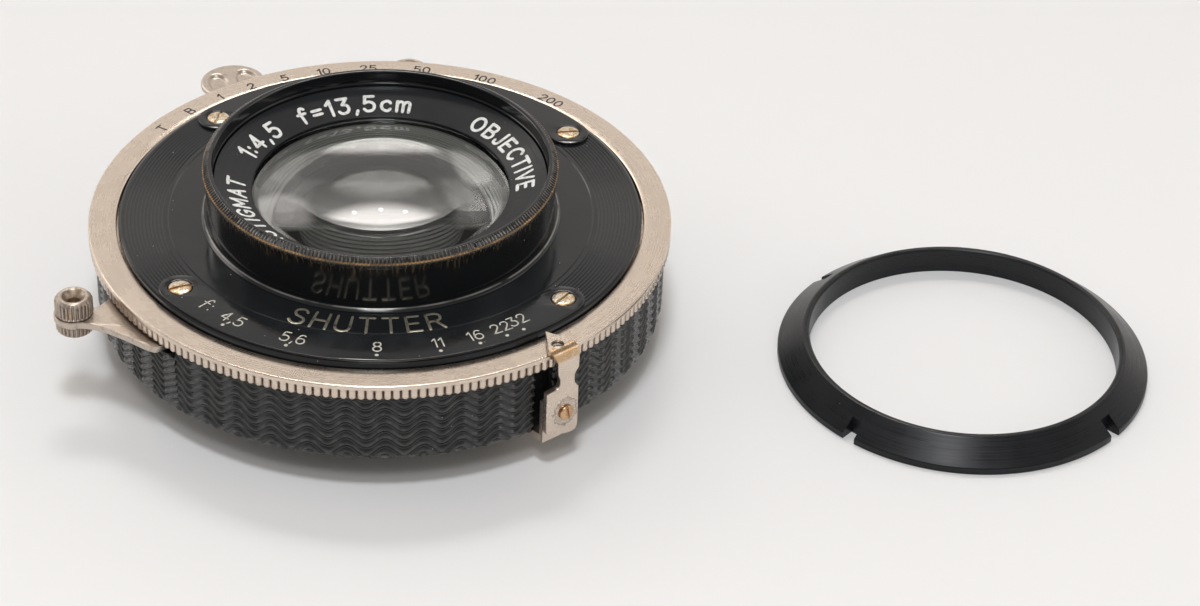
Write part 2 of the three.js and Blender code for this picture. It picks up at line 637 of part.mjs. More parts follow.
// ---- loose retaining ring ----
function retainingRing() {
  const body = turned([
    [LOOSE_RING_BORE_R, 0], [LOOSE_RING_R - 0.1, 0], [LOOSE_RING_R, 0.1], [LOOSE_RING_R, LOOSE_RING_RIM_Z],
    [LOOSE_RING_BORE_R + LOOSE_RING_FLAT, LOOSE_RING_HEIGHT], [LOOSE_RING_BORE_R + 0.2, LOOSE_RING_HEIGHT],
    [LOOSE_RING_BORE_R, LOOSE_RING_HEIGHT - 0.2],
  ])
  const notches = []
  for (let i = 0; i < LOOSE_RING_NOTCHES; i++) {
    const half = NOTCH_WIDTH / 2
    const notch = block(NOTCH_INNER_R, LOOSE_RING_R + 1, -half, half, -1, LOOSE_RING_HEIGHT)
    notches.push(notch.rotateZ(rad((i * 360) / LOOSE_RING_NOTCHES + NOTCH_ANGLE)))
  }
  return cut(body, ...notches)
}

// ---- assembly ----
add('rear_housing', rearHousing(), ENAMEL())
add('wave_band', waveBand(), ENAMEL())
add('mechanism_plate', mechanismPlate(), BRASS())
add('face_plate', facePlate(), ENAMEL())
add('front_scale_plate', scalePlate(SCREW_ANGLES[0], SCREW_ANGLES[1]), ENAMEL())
add('rear_scale_plate', scalePlate(SCREW_ANGLES[2], SCREW_ANGLES[3]), ENAMEL())
screwPlaces.forEach(({ x, y }, i) => {
  const piece = screw(SCREW_HEAD_R, 0.42, SCREW_SHANK_R, 1.2, 0.35)
  add(`face_screw_${i + 1}`, piece, BRASS()).position.set(x, y, PLATE_TOP_Z + 0.03)
})
add('cell_collar', collar(), ENAMEL())
add('front_barrel', frontBarrel(), ENAMEL())
add('name_ring', nameRing(), ENAMEL())
const frontElement = element(17, { curvature: 44, apex: 22.5, r: 16.4 }, { curvature: -600, apex: 16.75 })
add('front_element', frontElement, GLASS())
const secondElement = element(13, { curvature: -62, apex: 12.6 }, { curvature: 90, apex: 12, r: 12.4 })
add('second_element', secondElement, GLASS())
add('second_element_ring', ring(11.9, 13.05, 10.35, 11.05, 28), ENAMEL())
add('rear_barrel', rearBarrel(), ENAMEL())
const rearInnerElement = element(15.6, { curvature: -900, apex: 5 }, { curvature: 73, apex: 4.3 })
add('rear_inner_element', rearInnerElement, GLASS())
const rearOuterElement = element(15.6, { curvature: 73, apex: 4.22 }, { curvature: -77, apex: 0.5 })
add('rear_outer_element', rearOuterElement, GLASS())
add('rear_element_ring', ring(14.5, 15.8, 0.55, 1.65, 28), ENAMEL())

add('speed_ring', speedRing(), NICKEL())

const setting = turnedGroup(POINTER_ANGLE)
add('aperture_ring', apertureRing(), STEEL(), setting)
add('aperture_arm', apertureArm(), NICKEL(), setting)
add('aperture_pointer', aperturePointer(), NICKEL(), setting)
const apertureScrew = add('aperture_screw', screw(1.05, 0.45, 0.45, 1.2, 0.3), BRASS(), setting)
apertureScrew.rotation.y = Math.PI / 2
apertureScrew.position.set(POINTER_X + POINTER_THICKNESS + 0.3, 0, APERTURE_SCREW_Z)

add('cocking_lever', cockingLever(), NICKEL())
add('cocking_knob', cockingKnob(), NICKEL())
add('release_lever', releaseLever(), NICKEL())
add('release_pad', releasePad(), NICKEL())
add('release_spring', releaseSpring(), SPRING_STEEL())
add('main_spring', mainSpring(), SPRING_STEEL())
add('cable_socket', cableSocket(), NICKEL(), turnedGroup(SOCKET_ANGLE))

addBlades('iris_blade', IRIS_COUNT, 0, IRIS_Z, IRIS_STEP, STEEL, {
  pivotR: IRIS_PIVOT_R, innerR: IRIS_INNER_R, outerR: IRIS_OUTER_R, span: 120, closedBy: IRIS_SWING,
  earR: 1,
})
addBlades('shutter_blade', SHUTTER_COUNT, 36, SHUTTER_Z + 0.02, SHUTTER_STEP, SPRING_STEEL, {
  pivotR: SHUTTER_PIVOT_R, innerR: SHUTTER_INNER_R, outerR: SHUTTER_OUTER_R, span: 100,
  closedBy: SHUTTER_SWING, earR: 1.1,
})
add('blade_ring', ring(15.6, 20.8, 10.05, 10.65), STEEL())
add('retard_sector', retardSector(), BRASS())
add('retard_pinion', retardPinion(), STEEL())
add('retard_pallet', retardPallet(), STEEL())

add('retaining_ring', retainingRing(), ENAMEL()).position.set(...LOOSE_RING_PLACE)

export default model
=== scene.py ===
# Looks of a rim-set leaf shutter with its lens, and of the loose ring that clamps it to a board.
# Sizes of the object are millimetres in the frame's own axes, and become metres where a mesh is made.
import json
import math

import bmesh
import bpy
import numpy as np
from mathutils import Matrix, Vector
from mathutils.geometry import tessellate_polygon

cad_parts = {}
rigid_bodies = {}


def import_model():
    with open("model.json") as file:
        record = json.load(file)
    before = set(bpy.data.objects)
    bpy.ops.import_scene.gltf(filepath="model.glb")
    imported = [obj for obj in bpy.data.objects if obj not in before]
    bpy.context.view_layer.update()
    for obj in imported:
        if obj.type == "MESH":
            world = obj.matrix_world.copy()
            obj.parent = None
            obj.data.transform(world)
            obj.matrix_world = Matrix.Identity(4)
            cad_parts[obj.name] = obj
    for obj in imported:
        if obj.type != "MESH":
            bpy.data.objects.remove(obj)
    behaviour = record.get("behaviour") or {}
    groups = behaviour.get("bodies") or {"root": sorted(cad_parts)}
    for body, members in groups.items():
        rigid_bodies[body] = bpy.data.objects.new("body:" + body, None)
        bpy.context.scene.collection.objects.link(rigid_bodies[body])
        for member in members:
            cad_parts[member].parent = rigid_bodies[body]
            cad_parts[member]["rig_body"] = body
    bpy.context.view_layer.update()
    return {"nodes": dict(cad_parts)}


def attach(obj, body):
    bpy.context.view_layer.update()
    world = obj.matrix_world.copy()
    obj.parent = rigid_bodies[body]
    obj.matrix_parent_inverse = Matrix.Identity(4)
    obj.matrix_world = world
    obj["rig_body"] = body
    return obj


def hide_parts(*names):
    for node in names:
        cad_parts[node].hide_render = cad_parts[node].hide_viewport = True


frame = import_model()

MM = 0.001

# ---- sizes that several pieces share ----
FACE_Z = 16.0
CASE_Z = 4.6
CASE_R = 35.3
CASE_TOP_Z = 13.65
BAND_R = 36.3
BAND_SHIFT = 92.15
RIM_R = 37.0
RIM_INNER_R = 33.45
RIM_Z = 13.9
PLATE_R = 33.2
PLATE_Z = 15.15
PLATE_TOP_Z = 16.45
SCALE_TOP_Z = 16.85
SCALE_INNER_R = 27.5
SCALE_OUTER_R = 32.8
SCREW_CIRCLE_R = 30.15
SCREW_ANGLES = [-139.8, -37.9, 39.7, 140]
SCREW_TURNS = [25, 55, 10, 80]
COLLAR_R = 22.85
COLLAR_BORE_R = 20.7
COLLAR_TOP_Z = 17.0
BARREL_R = 22.1
LIP_R = 22.4
LIP_Z = 22.7
LIP_TEETH = 280
CHAMFER_Z = 23.5
BARREL_TOP_Z = 24.0
BARREL_BORE_R = 21.15
NAME_OUTER_R, NAME_OUTER_Z = 21.0, 21.85
NAME_INNER_R, NAME_INNER_Z = 16.3, 20.0
POINTER_ANGLE = -49.7
POINTER_X = 37.4
POINTER_THICKNESS = 0.75
KNOB_R, KNOB_ANGLE = 41.65, -149.7
COCK_TRAVEL = 35
LEVER_Z, LEVER_TOP_Z = 12.7, 13.6
LEVER_SLOTS = [(KNOB_ANGLE - COCK_TRAVEL - 4, -129), (113, 142)]
PAD_R, PAD_ANGLE, PAD_RADIUS = 40.6, 124.4, 4.4
SOCKET_R, SOCKET_ANGLE = 39.4, 89.1
LOOSE_RING_PLACE = (75.2, -4.9)


def polar(r, degrees):
    turn = math.radians(degrees)
    return np.array([r * math.cos(turn), r * math.sin(turn)])


# ---------------------------------------------------------------- meshes

def cleaned(mesh):
    """Joins points that coincide and turns every face outwards."""
    work = bmesh.new()
    work.from_mesh(mesh)
    bmesh.ops.remove_doubles(work, verts=work.verts, dist=1e-7)
    bmesh.ops.dissolve_degenerate(work, edges=work.edges, dist=1e-8)
    bmesh.ops.recalc_face_normals(work, faces=work.faces)
    work.to_mesh(mesh)
    work.free()
    return mesh


def raw_mesh(points, faces):
    mesh = bpy.data.meshes.new("mesh")
    mesh.from_pydata((np.asarray(points, float) * MM).tolist(), [], faces)
    return cleaned(mesh)


def grid(points, round_closed=True, across_closed=True):
    """A skin over points[i][j] in millimetres. An open run of closed sections gets a lid at each end."""
    n, m = points.shape[:2]
    i, j = np.meshgrid(
        np.arange(n if round_closed else n - 1), np.arange(m if across_closed else m - 1), indexing="ij"
    )
    i2, j2 = (i + 1) % n, (j + 1) % m
    quads = np.stack([i * m + j, i2 * m + j, i2 * m + j2, i * m + j2], -1).reshape(-1, 4).tolist()
    if not round_closed:
        quads += [list(range(m)), list(range((n - 1) * m, n * m))[::-1]]
    return raw_mesh(points.reshape(-1, 3), quads)


def rounded(corners, radius, steps=3):
    """A closed profile whose corners are short arcs. A corner may carry its own radius as a third number."""
    result = []
    count = len(corners)
    for i, corner in enumerate(corners):
        here = np.array(corner[:2], float)
        before = np.array(corners[i - 1][:2], float) - here
        after = np.array(corners[(i + 1) % count][:2], float) - here
        size = corner[2] if len(corner) > 2 else radius
        size = min(size, 0.45 * np.linalg.norm(before), 0.45 * np.linalg.norm(after))
        if here[0] == 0 or size <= 0:
            result.append(here)
            continue
        start = here + before / np.linalg.norm(before) * size
        end = here + after / np.linalg.norm(after) * size
        for step in range(steps + 1):
            t = step / steps
            result.append((1 - t) ** 2 * start + 2 * t * (1 - t) * here + t * t * end)
    return np.array(result)


def lathe(profile, segments, wobble=None):
    """A body turned about Z. wobble(r, z, degrees) gives the radius at each point where it isn't plain."""
    profile = np.asarray(profile, float)
    turns = np.linspace(0, 360, segments, endpoint=False)
    r = np.broadcast_to(profile[:, 0], (len(turns), len(profile))).copy()
    z = np.broadcast_to(profile[:, 1], r.shape)
    degrees = np.broadcast_to(turns[:, None], r.shape)
    if wobble:
        r = wobble(r, z, degrees)
    a = np.radians(degrees)
    points = np.stack([r * np.cos(a), r * np.sin(a), z], -1)
    return grid(points, across_closed=bool((profile[:, 0] > 0).all()))


def flat_ring(inner_r, outer_r, z0, z1, edge, segments):
    """A ring of rectangular section."""
    return lathe(rounded([(inner_r, z0), (outer_r, z0), (outer_r, z1), (inner_r, z1)], edge), segments)


def arc(centre, r, start, end, steps):
    """Points on a circle, from one angle in degrees to another."""
    return [tuple(np.array(centre) + polar(r, start + (end - start) * i / steps)) for i in range(steps + 1)]


def smooth_loop(points, steps):
    """A closed curve through points."""
    count = len(points)
    return [p for i in range(count)
            for p in smooth_span([points[(i + k) % count] for k in (-1, 0, 1, 2)], steps)]


def smooth_span(four, steps=4):
    """Points from the second to the third of four, on a smooth curve through them all."""
    p0, p1, p2, p3 = (np.array(p, float) for p in four)
    result = []
    for step in range(steps):
        t = step / steps
        result.append(tuple(0.5 * (2 * p1 + (p2 - p0) * t + (2 * p0 - 5 * p1 + 4 * p2 - p3) * t * t
                                   + (3 * p1 - p0 - 3 * p2 + p3) * t ** 3)))
    return result


def inset(loop, distance):
    """The loop moved towards its own left side."""
    p = np.array(loop, float)
    before = p - np.roll(p, 1, 0)
    after = np.roll(p, -1, 0) - p
    left = [np.stack([-d[:, 1], d[:, 0]], 1) / np.maximum(np.linalg.norm(d, axis=1), 1e-9)[:, None]
            for d in (before, after)]
    middle = left[0] + left[1]
    middle /= np.maximum((middle * middle).sum(1), 0.8)[:, None] / 2
    return p + middle * distance


def slab(loops, z0, z1, edge):
    """A flat piece with softened edges: an anticlockwise outline, then clockwise holes."""
    levels = [(edge, z0), (edge * 0.3, z0 + edge * 0.3), (0, z0 + edge),
              (0, z1 - edge), (edge * 0.3, z1 - edge * 0.3), (edge, z1)]
    points, faces, lids = [], [], ([], [])
    for loop in loops:
        first, count = len(points), len(loop)
        for move, z in levels:
            points += [(x, y, z) for x, y in inset(loop, move)]
        for level in range(len(levels) - 1):
            for i in range(count):
                a, b = first + level * count + i, first + level * count + (i + 1) % count
                faces.append((a, b, b + count, a + count))
        lids[0].append(range(first, first + count))
        lids[1].append(range(first + (len(levels) - 1) * count, first + len(levels) * count))
    for lid in lids:
        order = [i for run in lid for i in run]
        faces += [[order[i] for i in tri]
                  for tri in tessellate_polygon([[Vector(points[i]) for i in run] for run in lid])]
    return raw_mesh(points, faces)


def sector(outer_r, inner_r, first, last, steps, z0, z1, edge):
    """A curved bar about Z, from one angle to another."""
    outline = arc((0, 0), outer_r, first, last, steps) + arc((0, 0), inner_r, last, first, steps)
    return slab([outline], z0, z1, edge)


def joined(*meshes):
    """Several closed bodies as one mesh."""
    work = bmesh.new()
    for mesh in meshes:
        work.from_mesh(mesh)
    result = bpy.data.meshes.new("mesh")
    work.to_mesh(result)
    work.free()
    return result


def moved(mesh, matrix):
    mesh.transform(matrix)
    return mesh


def shifted(mesh, x=0.0, y=0.0, z=0.0):
    return moved(mesh, Matrix.Translation((x * MM, y * MM, z * MM)))


def turned(mesh, degrees, axis="Z"):
    return moved(mesh, Matrix.Rotation(math.radians(degrees), 4, axis))


def bar(x0, x1, y0, y1, z0, z1, edge=0.1):
    return slab([[(x0, y0), (x1, y0), (x1, y1), (x0, y1)]], z0, z1, edge)


def carved(mesh, *tools, operation="DIFFERENCE"):
    """The mesh less each tool, or joined with each."""
    holder = bpy.data.objects.new("carving", mesh)
    bpy.context.scene.collection.objects.link(holder)
    helpers = []
    for tool in tools:
        helper = bpy.data.objects.new("tool", tool)
        bpy.context.scene.collection.objects.link(helper)
        helpers.append(helper)
        modifier = holder.modifiers.new("cut", "BOOLEAN")
        modifier.operation = operation
        modifier.solver = "EXACT"
        modifier.object = helper
    bpy.context.view_layer.update()
    seen = holder.evaluated_get(bpy.context.evaluated_depsgraph_get())
    result = bpy.data.meshes.new_from_object(seen)
    for helper in [holder, *helpers]:
        bpy.data.objects.remove(helper)
    return result


def shade(mesh, crease):
    mesh.polygons.foreach_set("use_smooth", [True] * len(mesh.polygons))
    mesh.set_sharp_from_angle(angle=math.radians(crease))


def piece(name, mesh, look, node, stands_for=True, crease=35, even=True):
    """A visible piece that rides with a CAD node and, unless told otherwise, stands for it."""
    mesh.materials.clear()
    mesh.materials.append(look.material)
    mesh.name = name
    shade(mesh, crease)
    made = bpy.data.objects.new(name, mesh)
    bpy.context.scene.collection.objects.link(made)
    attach(made, frame["nodes"][node]["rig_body"])
    if stands_for:
        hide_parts(node)
    if even and len(mesh.polygons) < 50000:
        made.modifiers.new("even shading", "WEIGHTED_NORMAL").keep_sharp = True


def marking(name, mesh, look, node):
    """Figures, words or dots that lie on a node's own piece."""
    piece(name, mesh, look, node, stands_for=False, crease=60)


def dress(node, look, edge):
    """A CAD node keeps its shape, and gets a finish and softened edges."""
    cad = frame["nodes"][node]
    cad.data.materials.clear()
    cad.data.materials.append(look.material)
    soften = cad.modifiers.new("soft edges", "BEVEL")
    soften.width = edge * MM
    soften.segments = 2
    soften.limit_method = "ANGLE"
    soften.angle_limit = math.radians(40)


# ---------------------------------------------------------------- finishes

class Nodes:
    """Short ways to add nodes to a tree."""

    def __init__(self, tree):
        self.tree = tree

    def put(self, node, socket, value):
        target = node.inputs[socket]
        if isinstance(value, bpy.types.NodeSocket):
            self.tree.links.new(value, target)
        elif isinstance(value, tuple) and len(value) == 3 and len(target.default_value) == 4:
            target.default_value = (*value, 1)
        else:
            target.default_value = value

    def add(self, kind, inputs, **settings):
        node = self.tree.nodes.new(kind)
        for key, value in settings.items():
            setattr(node, key, value)
        for socket, value in inputs.items():
            self.put(node, socket, value)
        return node

    def math(self, operation, *values):
        return self.add("ShaderNodeMath", dict(enumerate(values)), operation=operation).outputs[0]

    def times(self, *factors):
        """The product of any number of values."""
        product = factors[0]
        for factor in factors[1:]:
            product = self.math("MULTIPLY", product, factor)
        return product

    def noise(self, vector, scale, detail, roughness=0.5):
        return self.add("ShaderNodeTexNoise", {"Vector": vector, "Scale": scale, "Detail": detail,
                                               "Roughness": roughness}).outputs["Fac"]

    def between(self, value, low, high, to_low=0.0, to_high=1.0):
        """A smooth step of a value, from to_low at low to to_high at high."""
        return self.add("ShaderNodeMapRange", {"Value": value, "From Min": low, "From Max": high,
                                               "To Min": to_low, "To Max": to_high},
                        interpolation_type="SMOOTHSTEP").outputs[0]

    def mix(self, share, a, b):
        node = self.tree.nodes.new("ShaderNodeMix")
        node.data_type = "RGBA"
        for index, value in ((0, share), (6, a), (7, b)):
            target = node.inputs[index]
            if isinstance(value, bpy.types.NodeSocket):
                self.tree.links.new(value, target)
            else:
                target.default_value = (*value, 1) if isinstance(value, tuple) else value
        return node.outputs[2]


class Look(Nodes):
    """A material made of nodes. Its places are in millimetres in the piece's own axes."""

    def __init__(self, name, color, roughness, metallic=0.0, **sockets):
        self.material = bpy.data.materials.new(name)
        self.material.use_nodes = True
        super().__init__(self.material.node_tree)
        self.shader = self.tree.nodes["Principled BSDF"]
        self.put(self.shader, "Base Color", color)
        self.put(self.shader, "Roughness", roughness)
        self.put(self.shader, "Metallic", metallic)
        for socket, value in sockets.items():
            self.put(self.shader, socket.replace("_", " "), value)
        self._places = None

    def place(self):
        """(vector, radius, turn, height): the place in millimetres and its turn about Z in radians."""
        if not self._places:
            where = self.add("ShaderNodeTexCoord", {}).outputs["Object"]
            scale = self.add("ShaderNodeVectorMath", {0: where, "Scale": 1 / MM}, operation="SCALE")
            self._places = (scale.outputs[0], *self.circles(scale.outputs[0]))
        return self._places

    def circles(self, vector):
        """(radius, turn, height) of a vector about Z."""
        x, y, z = self.add("ShaderNodeSeparateXYZ", {0: vector}).outputs
        radius = self.math("SQRT", self.math("ADD", self.times(x, x), self.times(y, y)))
        return radius, self.math("ARCTAN2", y, x), z

    def around(self, *scales, circles=None):
        """A vector that follows the circles about Z, with a scale round them, outwards and upwards."""
        radius, turn, z = circles or self.place()[1:]
        ways = [self.times(way, scale) for way, scale in zip((turn, radius, z), scales)]
        return self.add("ShaderNodeCombineXYZ", dict(enumerate(ways))).outputs[0]

    def cloud(self, scale, detail, roughness=0.5):
        """Noise over the piece."""
        return self.noise(self.place()[0], scale, detail, roughness)

    def patches(self, scale, detail, *limits):
        """A smooth step of that noise."""
        return self.between(self.cloud(scale, detail), *limits)

    def distance(self, point):
        """How far the place is from a point."""
        ends = {0: self.place()[0], 1: tuple(float(part) for part in point)}
        return self.add("ShaderNodeVectorMath", ends, operation="DISTANCE").outputs["Value"]

    def specks(self, scale, size, share):
        """Dust: spots of a size in a share of the cells of a scatter."""
        scatter = self.add("ShaderNodeTexVoronoi", {"Vector": self.place()[0], "Scale": scale})
        near = self.between(scatter.outputs["Distance"], size, size * 0.4)
        cell = self.add("ShaderNodeSeparateXYZ", {0: scatter.outputs["Color"]}).outputs[0]
        return self.times(near, self.math("LESS_THAN", cell, share))

    def bump(self, height, distance, strength):
        node = self.add("ShaderNodeBump", {"Height": height, "Distance": distance * MM, "Strength": strength})
        self.put(self.shader, "Normal", node.outputs[0])

    def color(self, value):
        self.put(self.shader, "Base Color", value)

    def set(self, socket, value):
        self.put(self.shader, socket, value)


ENAMEL_BLACK = (0.0085, 0.0095, 0.0105)
DUST = (0.30, 0.29, 0.27)
RUBBED_ENAMEL = (0.30, 0.29, 0.27)
NICKEL_COLOR = (0.72, 0.615, 0.52)
DULL_NICKEL = (0.57, 0.495, 0.425)
NICKEL_WORN = (0.56, 0.42, 0.28)
DIRT = (0.13, 0.075, 0.042)
BRASS_COLOR = (0.52, 0.36, 0.19)


def scaled(color, share):
    """A darker or brighter color."""
    return tuple(part * share for part in color)


def enamel(name, roughness, dust=0.2):
    """Black stoving enamel: a slight orange peel, uneven gloss, a little dust."""
    look = Look(name, ENAMEL_BLACK, roughness)
    cloud = look.cloud(0.22, 3)
    look.set("Roughness", look.between(cloud, 0.3, 0.75, roughness - 0.05, roughness + 0.09))
    uneven = look.mix(cloud, ENAMEL_BLACK, scaled(ENAMEL_BLACK, 1.7))
    look.color(look.mix(look.specks(0.75, 0.085, dust), uneven, DUST))
    look.bump(look.cloud(1.6, 2), 0.012, 0.35)
    return look


def barrel_enamel():
    """Gloss enamel rubbed through on the crests and along the lower edge of the knurl, with streaks below;
    the black inner cone is painted grey as painted light.
    """
    look = Look("barrel_enamel", ENAMEL_BLACK, 0.14)
    _, radius, turn, z = look.place()
    outside = look.between(radius, LIP_R - 0.85, LIP_R - 0.7)
    edge = look.times(look.between(z, CHAMFER_Z - 0.3, CHAMFER_Z - 0.18),
                      look.between(z, CHAMFER_Z + 0.06, CHAMFER_Z - 0.04),
                      outside, look.math("MAXIMUM", look.patches(0.45, 3, 0.36, 0.58), 0.45))
    tooth = look.math("FRACT", look.times(turn, LIP_TEETH / (2 * math.pi)))
    crest = look.between(look.math("ABSOLUTE", look.math("SUBTRACT", look.times(tooth, 2.0), 1.0)), 0.5, 0.8)
    crest = look.times(crest, outside, look.between(z, CHAMFER_Z, CHAMFER_Z + 0.1),
                       look.patches(1.1, 3, 0.32, 0.6), 0.55)
    runs = look.noise(look.around(46.0, 0.0, 0.22), 1.0, 3, 0.65)
    areas = look.noise(look.around(4.5, 0.0, 0.0), 1.0, 2)
    reach = look.math("ADD", look.times(areas, 4.4), look.times(runs, 2.6))
    below = look.times(outside, look.between(look.math("ADD", z, reach), 24.6, 26.8),
                       look.between(runs, 0.46, 0.62), look.between(z, CHAMFER_Z - 0.3, CHAMFER_Z - 0.4))
    streaked = look.mix(look.times(below, 0.7), ENAMEL_BLACK, (0.085, 0.058, 0.028))
    rubbed = look.mix(edge, look.mix(crest, streaked, (0.42, 0.38, 0.33)), (0.46, 0.29, 0.14))
    # Painted light: the black inner cone is painted grey to stand in for light falling on it, and from here
    # the rubbed colour carries that painted light too.
    painted_light_cone = look.times(look.between(radius, 16.3, 16.0), look.between(z, 10.5, 11.5))
    rubbed = look.mix(painted_light_cone, rubbed, (0.20, 0.20, 0.18))
    look.color(look.mix(look.specks(0.6, 0.07, 0.25), rubbed, DUST))
    bare = look.math("MAXIMUM", edge, crest)
    look.set("Metallic", look.times(bare, 0.85))
    look.set("Roughness", look.math("ADD", look.times(below, 0.3), look.between(bare, 0, 1, 0.13, 0.3)))
    look.bump(look.cloud(1.5, 2), 0.01, 0.25)
    return look


def nickel(name, roughness, worn=0.0, fluted_r=None, brushed=True, grime=0.0, tone=NICKEL_COLOR):
    """Warm satin nickel with fine turning lines, small marks, dirt in its flutes and brass where worn."""
    look = Look(name, tone, roughness, 1.0)
    _, radius, _, z = look.place()
    tarnish = look.patches(0.3, 4, 0.35, 0.75)
    tone = look.mix(look.times(tarnish, 0.45), tone, scaled(tone, 0.83))
    marks = look.specks(0.9, 0.07, 0.3)
    tone = look.mix(look.times(marks, 0.55), tone, (0.16, 0.12, 0.085))
    if worn:
        tone = look.mix(look.patches(0.8, 4, 0.72 - worn, 0.9 - worn), tone, NICKEL_WORN)
    if grime:
        stains = look.between(look.cloud(1.3, 5, 0.65), 0.5, 0.68)
        tone = look.mix(look.times(stains, grime), tone, (0.13, 0.10, 0.075))
    if fluted_r:
        deep = look.times(look.between(radius, fluted_r + 0.37, fluted_r + 0.15),
                          look.between(radius, fluted_r - 0.1, fluted_r - 0.03), look.between(z, 15.45, 15.3))
        tone = look.mix(look.times(deep, 0.85), tone, DIRT)
        look.set("Metallic", look.between(deep, 0, 1, 1, 0.4))
    look.color(tone)
    lines = look.noise(look.around(0.9, 9.0, 9.0), 1.0, 2) if brushed else look.cloud(6, 2)
    spread = 0.02 if brushed else 0.045
    uneven = look.between(lines, 0.3, 0.7, roughness - spread, roughness + spread)
    look.set("Roughness", look.math("ADD", uneven, look.times(tarnish, 0.06)))
    look.bump(lines, 0.0012, 0.1)
    return look


def handled_nickel(name, roughness, worn, grime, tone=DULL_NICKEL):
    """Nickel of the pieces that fingers move: duller, with dirt in its pores."""
    return nickel(name, roughness, worn, brushed=False, grime=grime, tone=tone)


def band_enamel():
    """Embossed band: glossy dark enamel, thin on the ridges and rubbed bright along the lower edge."""
    look = Look("band_enamel", (0.022, 0.024, 0.026), 0.2)
    _, radius, _, z = look.place()
    crest = look.between(radius, BAND_R - 0.25, BAND_R)
    low = look.between(z, 5.15, 4.75)
    worn = look.times(look.math("MAXIMUM", look.times(crest, 0.3), low), look.patches(0.8, 4, 0.42, 0.68))
    base = look.mix(crest, (0.009, 0.010, 0.010), (0.020, 0.022, 0.023))
    tone = look.mix(look.times(worn, 0.5), base, RUBBED_ENAMEL)
    look.color(look.mix(look.specks(0.9, 0.09, 0.3), tone, DUST))
    look.set("Metallic", look.times(worn, 0.6))
    look.set("Roughness", look.patches(0.7, 2, 0.3, 0.7, 0.16, 0.25))
    look.bump(look.cloud(4, 2), 0.006, 0.3)
    return look


def satin_black(name, lines=10.0, centre=(0.0, 0.0), roughness=0.34):
    """Black satin finish on turned metal: fine rings of tool marks about a centre."""
    look = Look(name, (0.011, 0.012, 0.014), roughness, Specular_IOR_Level=0.3)
    away = (-centre[0], -centre[1], 0.0)
    local = look.add("ShaderNodeVectorMath", {0: look.place()[0], 1: away}, operation="ADD").outputs[0]
    marks = look.noise(look.around(0.8, lines, lines, circles=look.circles(local)), 1.0, 2)
    cloud = look.cloud(0.25, 3)
    look.color(look.mix(look.specks(0.8, 0.06, 0.12),
                        look.mix(cloud, (0.006, 0.007, 0.008), (0.012, 0.013, 0.015)), DUST))
    look.set("Roughness", look.math("ADD", look.between(marks, 0.3, 0.7, roughness - 0.05, roughness + 0.06),
                                    look.between(cloud, 0.3, 0.7, -0.03, 0.04)))
    look.bump(marks, 0.01, 0.5)
    return look


def metal(name, color, roughness):
    """Plain machined metal with a fine uneven grain."""
    look = Look(name, color, roughness, 1.0)
    grain = look.noise(look.around(3.0, 6.0, 6.0), 1.0, 3)
    cloud = look.cloud(0.4, 3)
    look.color(look.mix(look.between(cloud, 0.3, 0.75), color, scaled(color, 0.68)))
    look.set("Roughness", look.between(grain, 0.3, 0.7, roughness - 0.07, roughness + 0.08))
    look.bump(grain, 0.006, 0.4)
    return look


def paint(name, color, roughness=0.5, metallic=0.0):
    """Filling of the engraved figures, a little uneven."""
    look = Look(name, color, roughness, metallic)
    cloud = look.cloud(2.2, 3)
    look.color(look.mix(look.between(cloud, 0.45, 0.8), color, scaled(color, 0.55)))
    look.bump(cloud, 0.02, 0.4)
    return look


def glass(name, index):
    """Polished optical glass, with the faintest haze of dust on it."""
    look = Look(name, (0.97, 0.985, 0.98), 0.0, IOR=index, Transmission_Weight=1.0)
    haze = look.cloud(0.5, 3)
    look.set("Roughness", look.between(haze, 0.55, 0.85, 0.0, 0.012))
    return look


# ---------------------------------------------------------------- lettering

